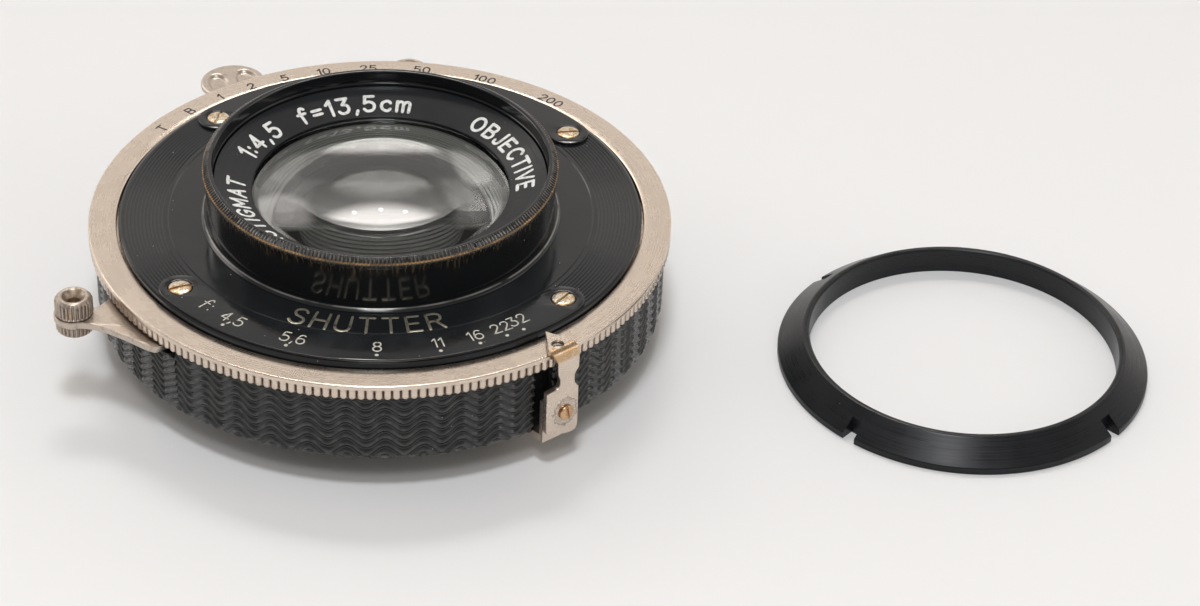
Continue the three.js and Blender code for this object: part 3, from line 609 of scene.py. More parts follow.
# Strokes of each character on a grid whose capitals are 9 high: l is straight, s is a smooth curve.
STROKES = {
    "A": "l 0,0 3.2,9 6.4,0/l 1.2,3 5.2,3",
    "B": "l 0,0 0,9/s 0,9 3,9 4.8,8.4 5.1,6.8 4.4,5.3 3,4.8 0,4.8/s 3,4.8 5,4.3 5.8,2.5 5,.6 3,0 0,0",
    "C": "s 6,7.4 4.9,8.6 3.4,9 1.2,7.8 0,4.5 1.2,1.2 3.4,0 4.9,.4 6,1.6",
    "E": "l 5,9 0,9 0,0 5,0/l 0,4.7 4.2,4.7",
    "G": "s 6,7.4 4.9,8.6 3.4,9 1.2,7.8 0,4.5 1.2,1.2 3.4,0 5,.4 6.1,1.6/l 6.1,1.6 6.1,4 4,4",
    "H": "l 0,0 0,9/l 5.8,0 5.8,9/l 0,4.7 5.8,4.7",
    "I": "l 0,0 0,9",
    "J": "l 3.6,9 3.6,2.4/s 3.6,2.4 3.1,.6 1.6,0 .3,.5 0,1.8",
    "M": "l 0,0 .4,9 3.7,2.6 7,9 7.4,0",
    "N": "l 0,0 0,9 6,0 6,9",
    "O": "s 3.5,9 1.1,7.8 0,4.5 1.1,1.2 3.5,0 5.9,1.2 7,4.5 5.9,7.8 3.5,9",
    "R": "l 0,0 0,9/s 0,9 3,9 5,8.4 5.5,6.7 4.8,5.1 3,4.6 0,4.6/l 3,4.6 5.7,0",
    "S": "s 5.4,7.6 4.4,8.7 2.9,9 1,8.3 .5,6.7 1.5,5.2 3,4.6 4.9,3.8 5.6,2.2 4.8,.6 3,0 1.2,.4 0,1.6",
    "T": "l 0,9 6,9/l 3,9 3,0",
    "U": "l 0,9 0,3/s 0,3 .7,.9 2.9,0 5.1,.9 5.8,3/l 5.8,3 5.8,9",
    "V": "l 0,9 3.1,0 6.2,9",
    "0": "s 2.8,9 .8,7.8 0,4.5 .8,1.2 2.8,0 4.8,1.2 5.6,4.5 4.8,7.8 2.8,9",
    "1": "l 0,6.9 2.1,9 2.1,0",
    "2": "s .2,7 .9,8.5 2.7,9 4.6,8.3 5,6.5 3.9,4.4 0,0/l 0,0 5.3,0",
    "3": "l .3,9 4.9,9 2.5,5.4/s 2.5,5.4 4.5,4.8 5.3,2.8 4.4,.7 2.4,0 .9,.3 0,1.4",
    "4": "l 4,0 4,9 0,2.6 5.6,2.6",
    "5": "l 4.8,9 .9,9 .4,5/s .4,5 2.5,5.7 4.6,4.8 5.3,2.9 4.4,.7 2.4,0 .9,.3 0,1.3",
    "6": "s 4.7,8.2 3,9 1.1,7.6 .1,3.6 .9,.8 2.8,0 4.7,.9 5.3,2.9 4.5,4.8 2.7,5.4 .9,4.7 .2,3.2",
    "8": "s 2.8,9 1,8.5 .5,7 1.2,5.5 2.8,4.9 4.6,4.2 5.4,2.4 4.6,.6 2.8,0 1,.6 .2,2.4 1,4.2 2.8,4.9 4.4,5.5"
         " 5.1,7 4.6,8.5 2.8,9",
    ":": "l 0,1.1 0,1.3/l 0,5.2 0,5.4",
    ",": "l .8,.6 0,-1.5",
    "=": "l 0,5.3 4.4,5.3/l 0,2.7 4.4,2.7",
    "f": "s 4.6,8.3 3.9,9 2.9,8.9 2.2,7.6 1.9,5.6 1.9,0/l .3,5.6 4.2,5.6",
    "c": "s 4.5,4.9 3.7,5.8 2.6,6 .7,5 0,3 .7,1 2.6,0 3.7,.2 4.5,1.1",
    "m": "l 0,0 0,6/s 0,4.1 .9,5.7 2.2,5.9 3.1,4.9 3.2,3/l 3.2,3 3.2,0"
         "/s 3.2,4.1 4.1,5.7 5.4,5.9 6.3,4.9 6.4,3/l 6.4,3 6.4,0",
}


def strokes(character):
    """The character's strokes as lists of points, and its width."""
    result = []
    for stroke in STROKES[character].split("/"):
        kind, *pairs = stroke.split()
        points = [tuple(float(n) for n in pair.split(",")) for pair in pairs]
        if kind == "s":
            padded = [points[0], *points, points[-1]]
            if points[0] == points[-1]:
                padded = [points[-2], *points, points[1]]
            result.append([between for i in range(len(points) - 1)
                           for between in smooth_span(padded[i:i + 4])] + [points[-1]])
        else:
            result += [[points[i], points[i + 1]] for i in range(len(points) - 1)]
    return result, max(x for stroke in result for x, _ in stroke)


def ribbon(points, half, height, place):
    """A slightly raised stroke with round ends. place turns (x, y) on the grid into a point on the piece."""
    p = np.array(points, float)
    way = np.gradient(p, axis=0)
    way /= np.linalg.norm(way, axis=1)[:, None]
    stations = [(p[0] - way[0] * half * t, way[0], math.sqrt(1 - t * t)) for t in (0.98, 0.8, 0.45)]
    stations += [(here, forward, 1.0) for here, forward in zip(p, way)]
    stations += [(p[-1] + way[-1] * half * t, way[-1], math.sqrt(1 - t * t)) for t in (0.45, 0.8, 0.98)]
    rows = []
    for here, forward, share in stations:
        side = np.array([-forward[1], forward[0]]) * half * share
        rows.append([(*place(here + side * across), up * height)
                     for across, up in ((-1, -0.5), (-0.7, 1), (0.7, 1), (1, -0.5))])
    return np.array([[(x, y, z + up) for x, y, z, up in row] for row in rows])


def lettering(words, surface, outward, weight, gap):
    """Words set on circles about Z: (text, capital height, radius of the base line, angle of the middle).

    surface(r) is the height that they lie on. Outward letters have their tops away from Z."""
    way = -1 if outward else 1
    raised = 0.02
    bodies = []
    for text, size, base_r, middle in words:
        scale = size / 9
        drawn = [strokes(c) if c != " " else ([], 3.0) for c in text]
        along = -(sum(width for _, width in drawn) + gap * (len(text) - 1)) * scale / 2
        for lines, width in drawn:

            def place(point, start=along):
                r = base_r - way * point[1]
                turn = middle + way * math.degrees((start + point[0]) / base_r)
                return (*polar(r, turn), surface(r))

            for line in lines:
                stroke = ribbon(np.array(line) * scale, weight / 2, raised, place)
                bodies.append(grid(stroke, round_closed=False))
            along += (width + gap) * scale
    return joined(*bodies)


def dots(places, r, z, size):
    """Round filled pits on the scale."""
    spots = []
    for angle in places:
        x, y = polar(r, angle)
        spots.append(shifted(slab([arc((0, 0), size, 0, 360 - 22.5, 15)], z - 0.02, z + 0.03, 0.01), x, y))
    return joined(*spots)


# ---------------------------------------------------------------- the pieces

def make_case():
    """The case with its back, its seat and the threaded tube behind."""
    pitch, depth = 0.75, 0.3
    tube_r, bore_r, floor = 19.6, 17.2, CASE_Z + 1.2
    seat_r, seat_z, wall = 25, 3.6, 1.4
    thread_z = np.arange(0.35, 3.35, 0.075)
    profile = [(bore_r, 0.15), (bore_r + 0.15, 0), (tube_r - 0.35, 0)]
    profile += [(tube_r, z) for z in thread_z]
    rest = rounded([(tube_r - 0.3, seat_z - 0.1), (tube_r - 0.3, seat_z), (seat_r, seat_z), (seat_r, CASE_Z),
                    (CASE_R, CASE_Z), (CASE_R, CASE_TOP_Z), (CASE_R - wall, CASE_TOP_Z),
                    (CASE_R - wall, floor), (bore_r, floor)], 0.15)
    profile = np.vstack([np.array(profile), rest])

    def thread(r, z, degrees):
        phase = (z / pitch - degrees / 360) % 1
        ridge = np.clip(1.35 * np.abs(2 * phase - 1) - 0.15, 0, 1)
        threaded = (np.abs(r - tube_r) < 0.01) & (z < 3.36)
        return np.where(threaded, r - depth * (1 - ridge), r)

    shell = lathe(profile, 240, wobble=thread)
    tools = [sector(29.6, 26.4, POINTER_ANGLE - 77.6, POINTER_ANGLE + 5, 40, 3.2, 7, 0.02)]
    tools += [sector(38, 32, *ends, 30, LEVER_Z - 0.25, CASE_TOP_Z + 1, 0.02) for ends in LEVER_SLOTS]
    piece("case_and_tube", carved(shell, *tools), enamel("case_enamel", 0.3), "rear_housing", crease=30)


def make_band():
    """The embossed band: wavy ridges all the way round, but for the gap behind the pointer."""
    waves, swing, pitch, relief = 49, 0.7, 1.15, 0.3
    first, last = -50.5, 305.4
    columns = 1000
    z_low, z_high = CASE_Z + 0.1, CASE_TOP_Z - 0.05
    heights = np.linspace(z_low, z_high, 176)
    turns = np.linspace(first, last, columns)
    degrees, z = np.meshgrid(turns, heights, indexing="ij")
    phase = np.radians(degrees + BAND_SHIFT) * waves
    wave = swing * np.cos(phase)
    across = ((z - z_low - wave) / pitch + 0.25) % 1
    ridge = np.exp(-(np.abs(2 * across - 1) / 0.62) ** 2.0)
    edge = np.minimum((z - z_low) / 0.2, (z_high - z) / 0.2).clip(0, 1)
    r = BAND_R - relief * (1 - ridge) - 0.1 * (1 - edge)
    ends = np.minimum(degrees - first, last - degrees) / 0.45
    r -= 0.25 * (1 - ends.clip(0, 1)) * (1 - 0.5 * ridge)
    slot_low = LEVER_Z - 0.3
    in_slot = np.zeros_like(z, bool)
    for start, end in LEVER_SLOTS:
        in_slot |= (degrees - start) % 360 < end - start
    z = np.where(in_slot, z_low + (z - z_low) * (slot_low - z_low) / (z_high - z_low), z)
    a = np.radians(degrees)
    outer = np.stack([r * np.cos(a), r * np.sin(a), z], -1)
    inner_r = CASE_R + 0.06
    backs = [np.stack([inner_r * np.cos(a[:, k]), inner_r * np.sin(a[:, k]), z[:, k]], -1)[:, None]
             for k in (-1, 0)]
    band = grid(np.concatenate([outer, *backs], 1), round_closed=False)
    piece("embossed_band", band, band_enamel(), "wave_band", crease=60)


def make_speed_ring():
    """The knurled ring: half-round flutes under a chamfer, and a flat face that carries the speeds."""
    teeth, samples, valley_r, bead, flute_top = 220, 12, RIM_R - 0.5, 0.46, 15.46
    flange_r, flange_top = 30.6, 15
    heights = [RIM_Z + 0.02, 13.97, 14.05, 14.18, 14.4, 14.7, 14.95, 15.1, 15.2, 15.28, 15.34, 15.39, 15.43]
    profile = [(flange_r, RIM_Z + 0.1), (RIM_INNER_R - 0.1, RIM_Z + 0.1), (RIM_INNER_R + 0.2, RIM_Z)]
    profile += [(valley_r, RIM_Z)] + [(RIM_R, z) for z in (*heights, flute_top)]
    profile += [(valley_r + out, FACE_Z - down) for out, down in
                ((bead, 0.48), (bead, 0.14), (0.44, 0.07), (0.39, 0.02), (0.32, 0), (0.2, 0))]
    profile += [(35.6, FACE_Z), (34.6, FACE_Z), (RIM_INNER_R + 0.08, FACE_Z), (RIM_INNER_R, FACE_Z - 0.08),
                (RIM_INNER_R, flange_top), (flange_r, flange_top)]

    def flutes(r, z, degrees):
        across = np.abs((degrees * teeth / 360 % 1) * 2 - 1)
        upper = np.clip((flute_top - z) / 0.35, 0, 1)
        lower = np.clip((RIM_Z + 0.3 - z) / 0.3, 0, 1)
        height = bead * np.sqrt(np.clip(1 - across ** 1.5 * upper ** 0.6 - lower ** 2, 0, 1))
        return np.where(np.abs(r - RIM_R) < 0.01, valley_r + height, r)

    ring = lathe(profile, teeth * samples, wobble=flutes)
    piece("knurled_speed_ring", ring, nickel("ring_nickel", 0.25, fluted_r=valley_r), "speed_ring", crease=50)
    speeds = [("T", 150), ("B", 141), ("1", 132.5), ("2", 124.5), ("5", 116.5), ("10", 107.5), ("25", 97.5),
              ("50", 85.5), ("100", 71), ("200", 54)]
    words = [(text, 1.35, 34.35, angle) for text, angle in speeds]
    ink = paint("engraving_black", (0.012, 0.011, 0.010), 0.5)
    figures = lettering(words, lambda r: FACE_Z, outward=True, weight=0.26, gap=2.8)
    marking("speed_figures", figures, ink, "speed_ring")


def make_face():
    """The black face plate with its fine rings, and the two raised arc plates with their screws."""
    bore_r, neck_r, neck_z = 19.3, 21.2, 11.2
    grooves, groove_pitch, first_r, last_r = 11, 0.46, 32.3, 26.95

    def groove(r, half_width, depth):
        return [(r + half_width, PLATE_TOP_Z), (r, PLATE_TOP_Z - depth), (r - half_width, PLATE_TOP_Z)]

    profile = [(bore_r, neck_z), (neck_r, neck_z), (neck_r, PLATE_Z), (PLATE_R - 0.1, PLATE_Z),
               (PLATE_R, PLATE_Z + 0.1), (PLATE_R, PLATE_TOP_Z - 0.4), (PLATE_R - 0.12, PLATE_TOP_Z - 0.12),
               (PLATE_R - 0.4, PLATE_TOP_Z)]
    for i in range(grooves):
        profile += groove(first_r - i * groove_pitch, 0.11, 0.07)
    profile += groove(last_r, 0.1, 0.05)
    profile += [(24.5, PLATE_TOP_Z), (bore_r, PLATE_TOP_Z)]
    piece("grooved_face_plate", lathe(profile, 256), enamel("face_enamel", 0.13, 0.35),
          "face_plate", crease=20)
    end_r = (SCALE_OUTER_R - SCALE_INNER_R) / 2
    scale_enamel = enamel("scale_enamel", 0.13, 0.3)
    for name, node, first, last in (("front_scale", "front_scale_plate", *SCREW_ANGLES[:2]),
                                    ("rear_scale", "rear_scale_plate", *SCREW_ANGLES[2:])):
        start, end = polar(SCREW_CIRCLE_R, first), polar(SCREW_CIRCLE_R, last)
        sides = [((0, 0), SCALE_OUTER_R, first, last, 60), (end, end_r, last, last + 180, 20),
                 ((0, 0), SCALE_INNER_R, last, first, 60), (start, end_r, first + 180, first + 360, 20)]
        outline = [point for side in sides for point in arc(*side)[:-1]]
        holes = [arc(centre, 1.56, 360, 12, 29) for centre in (start, end)]
        piece(name, slab([outline, *holes], PLATE_TOP_Z, SCALE_TOP_Z, 0.1), scale_enamel, node, crease=25)
    for i, (angle, turn) in enumerate(zip(SCREW_ANGLES, SCREW_TURNS), 1):
        x, y = polar(SCREW_CIRCLE_R, angle)
        head = turned(slotted_head(1.5, 0.5, slot_width=0.38, shank=1.2, shank_r=0.7), turn)
        head = shifted(head, x, y, PLATE_TOP_Z + 0.03)
        look = screw_brass(f"screw_brass_{i}", (x, y))
        piece(f"face_screw_head_{i}", head, look, f"face_screw_{i}", crease=30)


def slotted_head(head_r, height, slot_width, shank, shank_r):
    """A screw on its own axis: a slightly domed head with a slot, and its shank below z = 0."""
    profile = rounded([(0, -shank), (shank_r, -shank, 0.1), (shank_r, 0, 0), (head_r - 0.08, 0, 0.03),
                       (head_r, 0.1, 0.05), (head_r, height * 0.72, 0.12),
                       (head_r * 0.72, height * 0.95, 0.3), (0, height)], 0.05)
    reach, half = head_r + 1, slot_width / 2
    return carved(lathe(profile, 48), bar(-reach, reach, -half, half, height * 0.4, height + 1, 0.03))


def screw_brass(name, centre):
    """Brass with what is left of its nickel, and dirt round the edge."""
    look = Look(name, BRASS_COLOR, 0.3, 1.0)
    plated = look.patches(1.4, 3, 0.42, 0.58)
    tone = look.mix(plated, BRASS_COLOR, (0.70, 0.62, 0.50))
    dirty = look.between(look.distance((*centre, SCALE_TOP_Z)), 1.25, 1.5)
    look.color(look.mix(look.times(dirty, 0.8), tone, DIRT))
    look.set("Roughness", look.patches(5, 2, 0.3, 0.7, 0.24, 0.42))
    look.bump(look.cloud(7, 2), 0.02, 0.5)
    return look


def make_scale_figures():
    """The stops with their dots, and the word in silver beside the barrel."""
    stops = [("4,5", -122.3), ("5,6", -106.4), ("8", -86.4), ("11", -72.5), ("16", -63.5), ("22", -57.0),
             ("32", -52.7)]
    silver = paint("figure_silver", (0.62, 0.60, 0.52), 0.42, 0.35)
    words = [(text, 1.75, 30.95, angle + 0.5 * text.count(",")) for text, angle in stops[:5]]
    words += [("22", 1.7, 30.8, -56.8), ("32", 1.7, 30.6, -51.9), ("f:", 2.1, 30.9, -130.2)]
    figures = lettering(words, lambda r: SCALE_TOP_Z, outward=False, weight=0.21, gap=2.2)
    marking("stop_figures", figures, silver, "front_scale_plate")
    pits = dots([angle for _, angle in stops], 31.75, SCALE_TOP_Z, 0.24)
    marking("stop_dots", pits, silver, "front_scale_plate")
    word_look = paint("word_silver", (0.62, 0.57, 0.45), 0.3, 0.8)
    words = [("SHUTTER", 3.0, 26.7, -89.6)]
    word = lettering(words, lambda r: PLATE_TOP_Z, outward=False, weight=0.42, gap=3.2)
    marking("scale_word", word, word_look, "face_plate")


def make_front_cell():
    """The collar, the barrel with its knurled lip, and the sloping name ring."""
    collar = rounded([(COLLAR_BORE_R, PLATE_TOP_Z), (COLLAR_R, PLATE_TOP_Z, 0.05),
                      (COLLAR_R, PLATE_TOP_Z + 0.15, 0.08), (COLLAR_R - 0.4, COLLAR_TOP_Z, 0.1),
                      (COLLAR_BORE_R, COLLAR_TOP_Z)], 0.05)
    piece("base_collar", lathe(collar, 256), collar_enamel(), "cell_collar", crease=30)
    samples = 6
    lip = [(LIP_R, CHAMFER_Z - down) for down in (0.65, 0.5, 0.35, 0.22, 0.1, 0.02)]
    lip += [(LIP_R - 0.7 * u, CHAMFER_Z + 0.5 * u) for u in (0.06, 0.2, 0.36, 0.52, 0.68, 0.84, 0.96)]
    top = [(LIP_R - 0.74, BARREL_TOP_Z), (BARREL_BORE_R + 0.2, BARREL_TOP_Z),
           (BARREL_BORE_R + 0.08, BARREL_TOP_Z - 0.04), (BARREL_BORE_R, BARREL_TOP_Z - 0.15)]
    glass_r, glass_seat = 17.2, 16.5
    inner = rounded([(BARREL_BORE_R, 22.75), (BARREL_BORE_R + 0.1, 22.65), (BARREL_BORE_R + 0.1, 22.2),
                     (BARREL_BORE_R, 22.1), (BARREL_BORE_R, NAME_OUTER_Z - 0.7),
                     (glass_r, NAME_INNER_Z - 0.55), (glass_r, glass_seat), (15.8, glass_seat)], 0.05)
    cone, steps = [], 9
    for i in range(steps):
        share = i / steps
        r, z = 15.7 - 3.4 * share, 16.42 - 2.3 * share
        cone += [(r, z), (r - 0.02, z - 0.2), (r - 0.3, z - 0.21)]
    screwed_r, neck_r = 19.1, 20.55
    outer = rounded([(12.2, 14.05), (13.2, 14.05), (13.2, 10.3), (15.2, 10.3), (15.2, 11.2),
                     (screwed_r, 11.2), (screwed_r, PLATE_TOP_Z), (neck_r, PLATE_TOP_Z),
                     (neck_r, COLLAR_TOP_Z), (BARREL_R, COLLAR_TOP_Z), (BARREL_R, LIP_Z - 0.15),
                     (LIP_R - 0.05, LIP_Z)], 0.05)
    profile = np.vstack([outer, np.array(lip), np.array(top), inner, np.array(cone)])

    def knurl(r, z, degrees):
        across = np.abs((degrees * LIP_TEETH / 360 % 1) * 2 - 1)
        reach = np.clip((z - 23.15) / 0.25, 0, 1) * np.clip((23.99 - z) / 0.08, 0, 1)
        return np.where(r > LIP_R - 0.72, r - 0.24 * reach * across ** 1.6, r)

    barrel = lathe(profile, LIP_TEETH * samples, wobble=knurl)
    piece("knurled_barrel", barrel, barrel_enamel(), "front_barrel", crease=32)
    slope = (NAME_OUTER_Z - NAME_INNER_Z) / (NAME_OUTER_R - NAME_INNER_R)
    thickness = 0.45
    ring = rounded([(NAME_INNER_R, NAME_INNER_Z - thickness), (NAME_OUTER_R, NAME_OUTER_Z - thickness),
                    (NAME_OUTER_R, NAME_OUTER_Z), (NAME_INNER_R, NAME_INNER_Z)], 0.1)
    piece("sloping_name_ring", lathe(ring, 256), satin_black("name_ring_black", 8), "name_ring", crease=30)
    white = paint("letter_white", (0.80, 0.80, 0.77), 0.5)
    words = [("1:4,5", 2.2, 17.2, 153.5), ("f=13,5cm", 2.2, 17.2, 106.5), ("OBJECTIVE", 2.0, 17.25, 26),
             ("ANASTIGMAT", 2.0, 17.25, 216)]
    letters = lettering(words, lambda r: NAME_INNER_Z + slope * (r - NAME_INNER_R), outward=True,
                        weight=0.46, gap=3.6)
    marking("name_ring_letters", letters, white, "name_ring")


def collar_enamel():
    """Enamel whose bevelled edge is rubbed grey."""
    look = Look("collar_enamel", ENAMEL_BLACK, 0.15)
    _, radius, _, z = look.place()
    worn = look.times(look.between(radius, COLLAR_R - 0.46, COLLAR_R - 0.4),
                      look.between(z, COLLAR_TOP_Z - 0.16, COLLAR_TOP_Z - 0.1),
                      look.patches(0.35, 3, 0.25, 0.6))
    look.color(look.mix(look.times(worn, 0.7), ENAMEL_BLACK, RUBBED_ENAMEL))
    look.set("Metallic", look.times(worn, 0.5))
    look.bump(look.cloud(1.6, 2), 0.012, 0.3)
    return look


def spherical(edge_r, sphere_r, apex_z, steps=16):
    """Points on a sphere, from the axis to an edge. sphere_r is positive where the middle is highest."""
    r = np.linspace(0, edge_r, steps + 1)
    sag = abs(sphere_r) - np.sqrt(sphere_r * sphere_r - r * r)
    return list(zip(r, apex_z - math.copysign(1, sphere_r) * sag))


def make_glass():
    """The four elements, each a pair of spherical surfaces with a ground edge.

    The inner elements have a lower index than real glass, so that they reflect less."""
    clear, inner = glass("optical_glass", 1.53), glass("inner_glass", 1.22)
    # Upper and lower surface: the radius of the edge, the radius of the sphere, the height of the middle.
    for name, node, look, edge_r, top, bottom in (
        ("front_glass", "front_element", clear, 17.0, (16.4, 44, 22.5), (17.0, -600, 16.75)),
        ("second_glass", "second_element", inner, 13.0, (13.0, -62, 12.6), (12.4, 90, 12.0)),
        ("rear_inner_glass", "rear_inner_element", inner, 15.6, (15.6, -900, 5.0), (15.6, 73, 4.3)),
        ("rear_outer_glass", "rear_outer_element", inner, 15.6, (15.6, 73, 4.22), (15.6, -77, 0.5)),
    ):
        upper, lower = spherical(*top), spherical(*bottom)
        edge = [(edge_r, lower[-1][1]), (edge_r, upper[-1][1])]
        profile = np.array(lower + edge + upper[::-1])
        piece(name, lathe(profile, 192), look, node, crease=25, even=False)
    ring = flat_ring(11.9, 13.05, 10.35, 11.05, 0.08, 96)
    piece("second_glass_ring", ring, satin_black("cell_black"), "second_element_ring")
    section = [(14.9, 5.2), (15.9, 5.2), (15.9, 0.5), (16.6, 0.5), (17, 0.9), (17, 5.65), (14.9, 5.65)]
    piece("rear_cell", lathe(rounded(section, 0.08), 160), satin_black("rear_cell_black"), "rear_barrel")
    ring = flat_ring(14.5, 15.8, 0.55, 1.65, 0.1, 128)
    notches = [turned(bar(14, 16.5, -0.5, 0.5, 0.2, 1.0), turn) for turn in (20, 200)]
    piece("rear_glass_ring", carved(ring, *notches), satin_black("rear_ring_black"), "rear_element_ring")


def dished(radius, z_low, z_top, bowl_at, bowl_size, depth):
    """A round pad with a bevelled edge and two bowls, one on each side of a bar along Y."""
    rings = [(0, z_low), (radius - 0.5, z_low), (radius - 0.25, z_low + 0.15), (radius, z_low + 0.45),
             (radius, z_top - 0.3), (radius - 0.08, z_top - 0.1), (radius - 0.28, z_top)]
    rings += [(r, z_top) for r in np.linspace(radius - 0.4, 0, 26)]
    turns = np.radians(np.linspace(0, 360, 96, endpoint=False))
    points = np.zeros((len(turns), len(rings), 3))
    for j, (r, z) in enumerate(rings):
        x, y = r * np.cos(turns), r * np.sin(turns)
        height = np.full_like(x, z)
        if z == z_top:
            far = ((np.abs(x) - bowl_at) / bowl_size[0]) ** 2 + (y / bowl_size[1]) ** 2
            sunk = np.clip((1.15 - far) / 0.6, 0, 1)
            height = height - depth * sunk * sunk * (3 - 2 * sunk)
        points[:, j] = np.stack([x, y, height], -1)
    return grid(points, across_closed=False)


def make_levers():
    """The cocking lever and its knob, and the release lever with its pad."""
    lever_nickel = handled_nickel("lever_nickel", 0.34, worn=0.12, grime=0.35)
    knob = polar(KNOB_R, KNOB_ANGLE)
    outline = [polar(22.4, -151), polar(28, -151), polar(34, -151), polar(37, -150.6), polar(39.2, -149.6)]
    outline += [knob + polar(2.55, KNOB_ANGLE - 65 + i * 15) for i in range(11)]
    outline += [polar(40.2, -144), polar(38.8, -139.6), polar(38.1, -136), polar(37.6, -133.2),
                polar(36.6, -132), polar(32, -131.5), polar(22.4, -134)]
    arm = slab([smooth_loop(outline, 5)], LEVER_Z, LEVER_TOP_Z, 0.12)
    hub = flat_ring(21.5, 24.3, LEVER_Z, LEVER_TOP_Z, 0.1, 160)
    piece("cocking_arm", carved(hub, arm, operation="UNION"), lever_nickel, "cocking_lever", crease=30)
    flutes, knob_r = 26, 2.35
    profile = rounded([
        (0, 11.1), (knob_r - 0.35, 11.1, 0.2), (knob_r, 11.45, 0.1), (knob_r, LEVER_Z - 0.12, 0.1),
        (1.25, LEVER_Z - 0.02, 0), (1.25, LEVER_TOP_Z + 0.02, 0), (knob_r, LEVER_TOP_Z + 0.12, 0.1),
        (knob_r, 15.55, 0.1), (knob_r - 0.45, 16.1, 0.25),
        (1.45, 16.1, 0.2), (0.8, 15.2, 0.1), (0.75, 14, 0.1), (0, 14)], 0.1)

    def ribs(r, z, degrees):
        t = np.abs((degrees * flutes / 360 % 1) * 2 - 1)
        cut = 0.3 * np.clip((t - 0.35) / 0.4, 0, 1)
        upper = np.clip((z - LEVER_TOP_Z - 0.15) / 0.1, 0, 1) * np.clip((15.75 - z) / 0.25, 0, 1)
        lower = np.clip((z - 11.25) / 0.2, 0, 1) * np.clip((LEVER_Z - 0.15 - z) / 0.1, 0, 1)
        return np.where(r > knob_r - 0.32, r - cut * np.maximum(upper, lower), r)

    extra = np.array([(knob_r, z) for z in np.linspace(LEVER_TOP_Z + 0.35, 15.4, 6)])
    place = int(np.argmin(np.abs(profile[:, 1] - (LEVER_TOP_Z + 0.2)) + np.abs(profile[:, 0] - knob_r)))
    profile = np.vstack([profile[:place + 1], extra, profile[place + 1:]])
    knob_mesh = shifted(lathe(profile, flutes * 10, wobble=ribs), *knob)
    knob_nickel = handled_nickel("knob_nickel", 0.38, worn=0.2, grime=0.6, tone=(0.47, 0.40, 0.34))
    piece("fluted_knob", knob_mesh, knob_nickel, "cocking_knob", crease=38)
    outline = [polar(27.4, 108), polar(31.4, 109.5), polar(33.5, 115.5), polar(36.5, 119.5),
               polar(38.6, 121.6),
               polar(42, 122.9), polar(42.5, 124.4), polar(42, 125.9), polar(38.6, 127.4), polar(35, 127),
               polar(31, 121.5), polar(26.4, 119), polar(25.8, 113)]
    hole = arc(polar(29.5, 112), 0.68, 360, 24, 14)
    piece("release_arm", slab([smooth_loop(outline, 5), hole], LEVER_Z, LEVER_Z + 0.5, 0.08), lever_nickel,
          "release_lever", crease=30)
    pad = dished(PAD_RADIUS, LEVER_Z + 0.12, RIM_Z - 0.1, 1.95, (1.4, 2.5), 0.36)
    turned(pad, PAD_ANGLE - 102)
    pad_nickel = handled_nickel("pad_nickel", 0.3, worn=0.1, grime=0.3)
    piece("dished_pad", shifted(pad, *polar(PAD_R, PAD_ANGLE)), pad_nickel, "release_pad", crease=40,
          even=False)


def make_socket():
    """The cable socket: a dished boss on a foot that hugs the band."""
    boss = dished(2.6, 9.2, 13.5, 1.15, (0.8, 1.5), 0.55)
    foot = sector(BAND_R + 0.95, BAND_R + 0.12, -6, 6, 12, 6.4, 12.9, 0.12)
    bridge = bar(BAND_R + 0.5, SOCKET_R - 1.5, -1.6, 1.6, 9.8, 12.4, 0.2)
    whole = joined(foot, bridge, shifted(boss, SOCKET_R))
    socket_nickel = handled_nickel("socket_nickel", 0.3, worn=0.12, grime=0.3)
    piece("cable_boss", turned(whole, SOCKET_ANGLE), socket_nickel, "cable_socket", even=False)


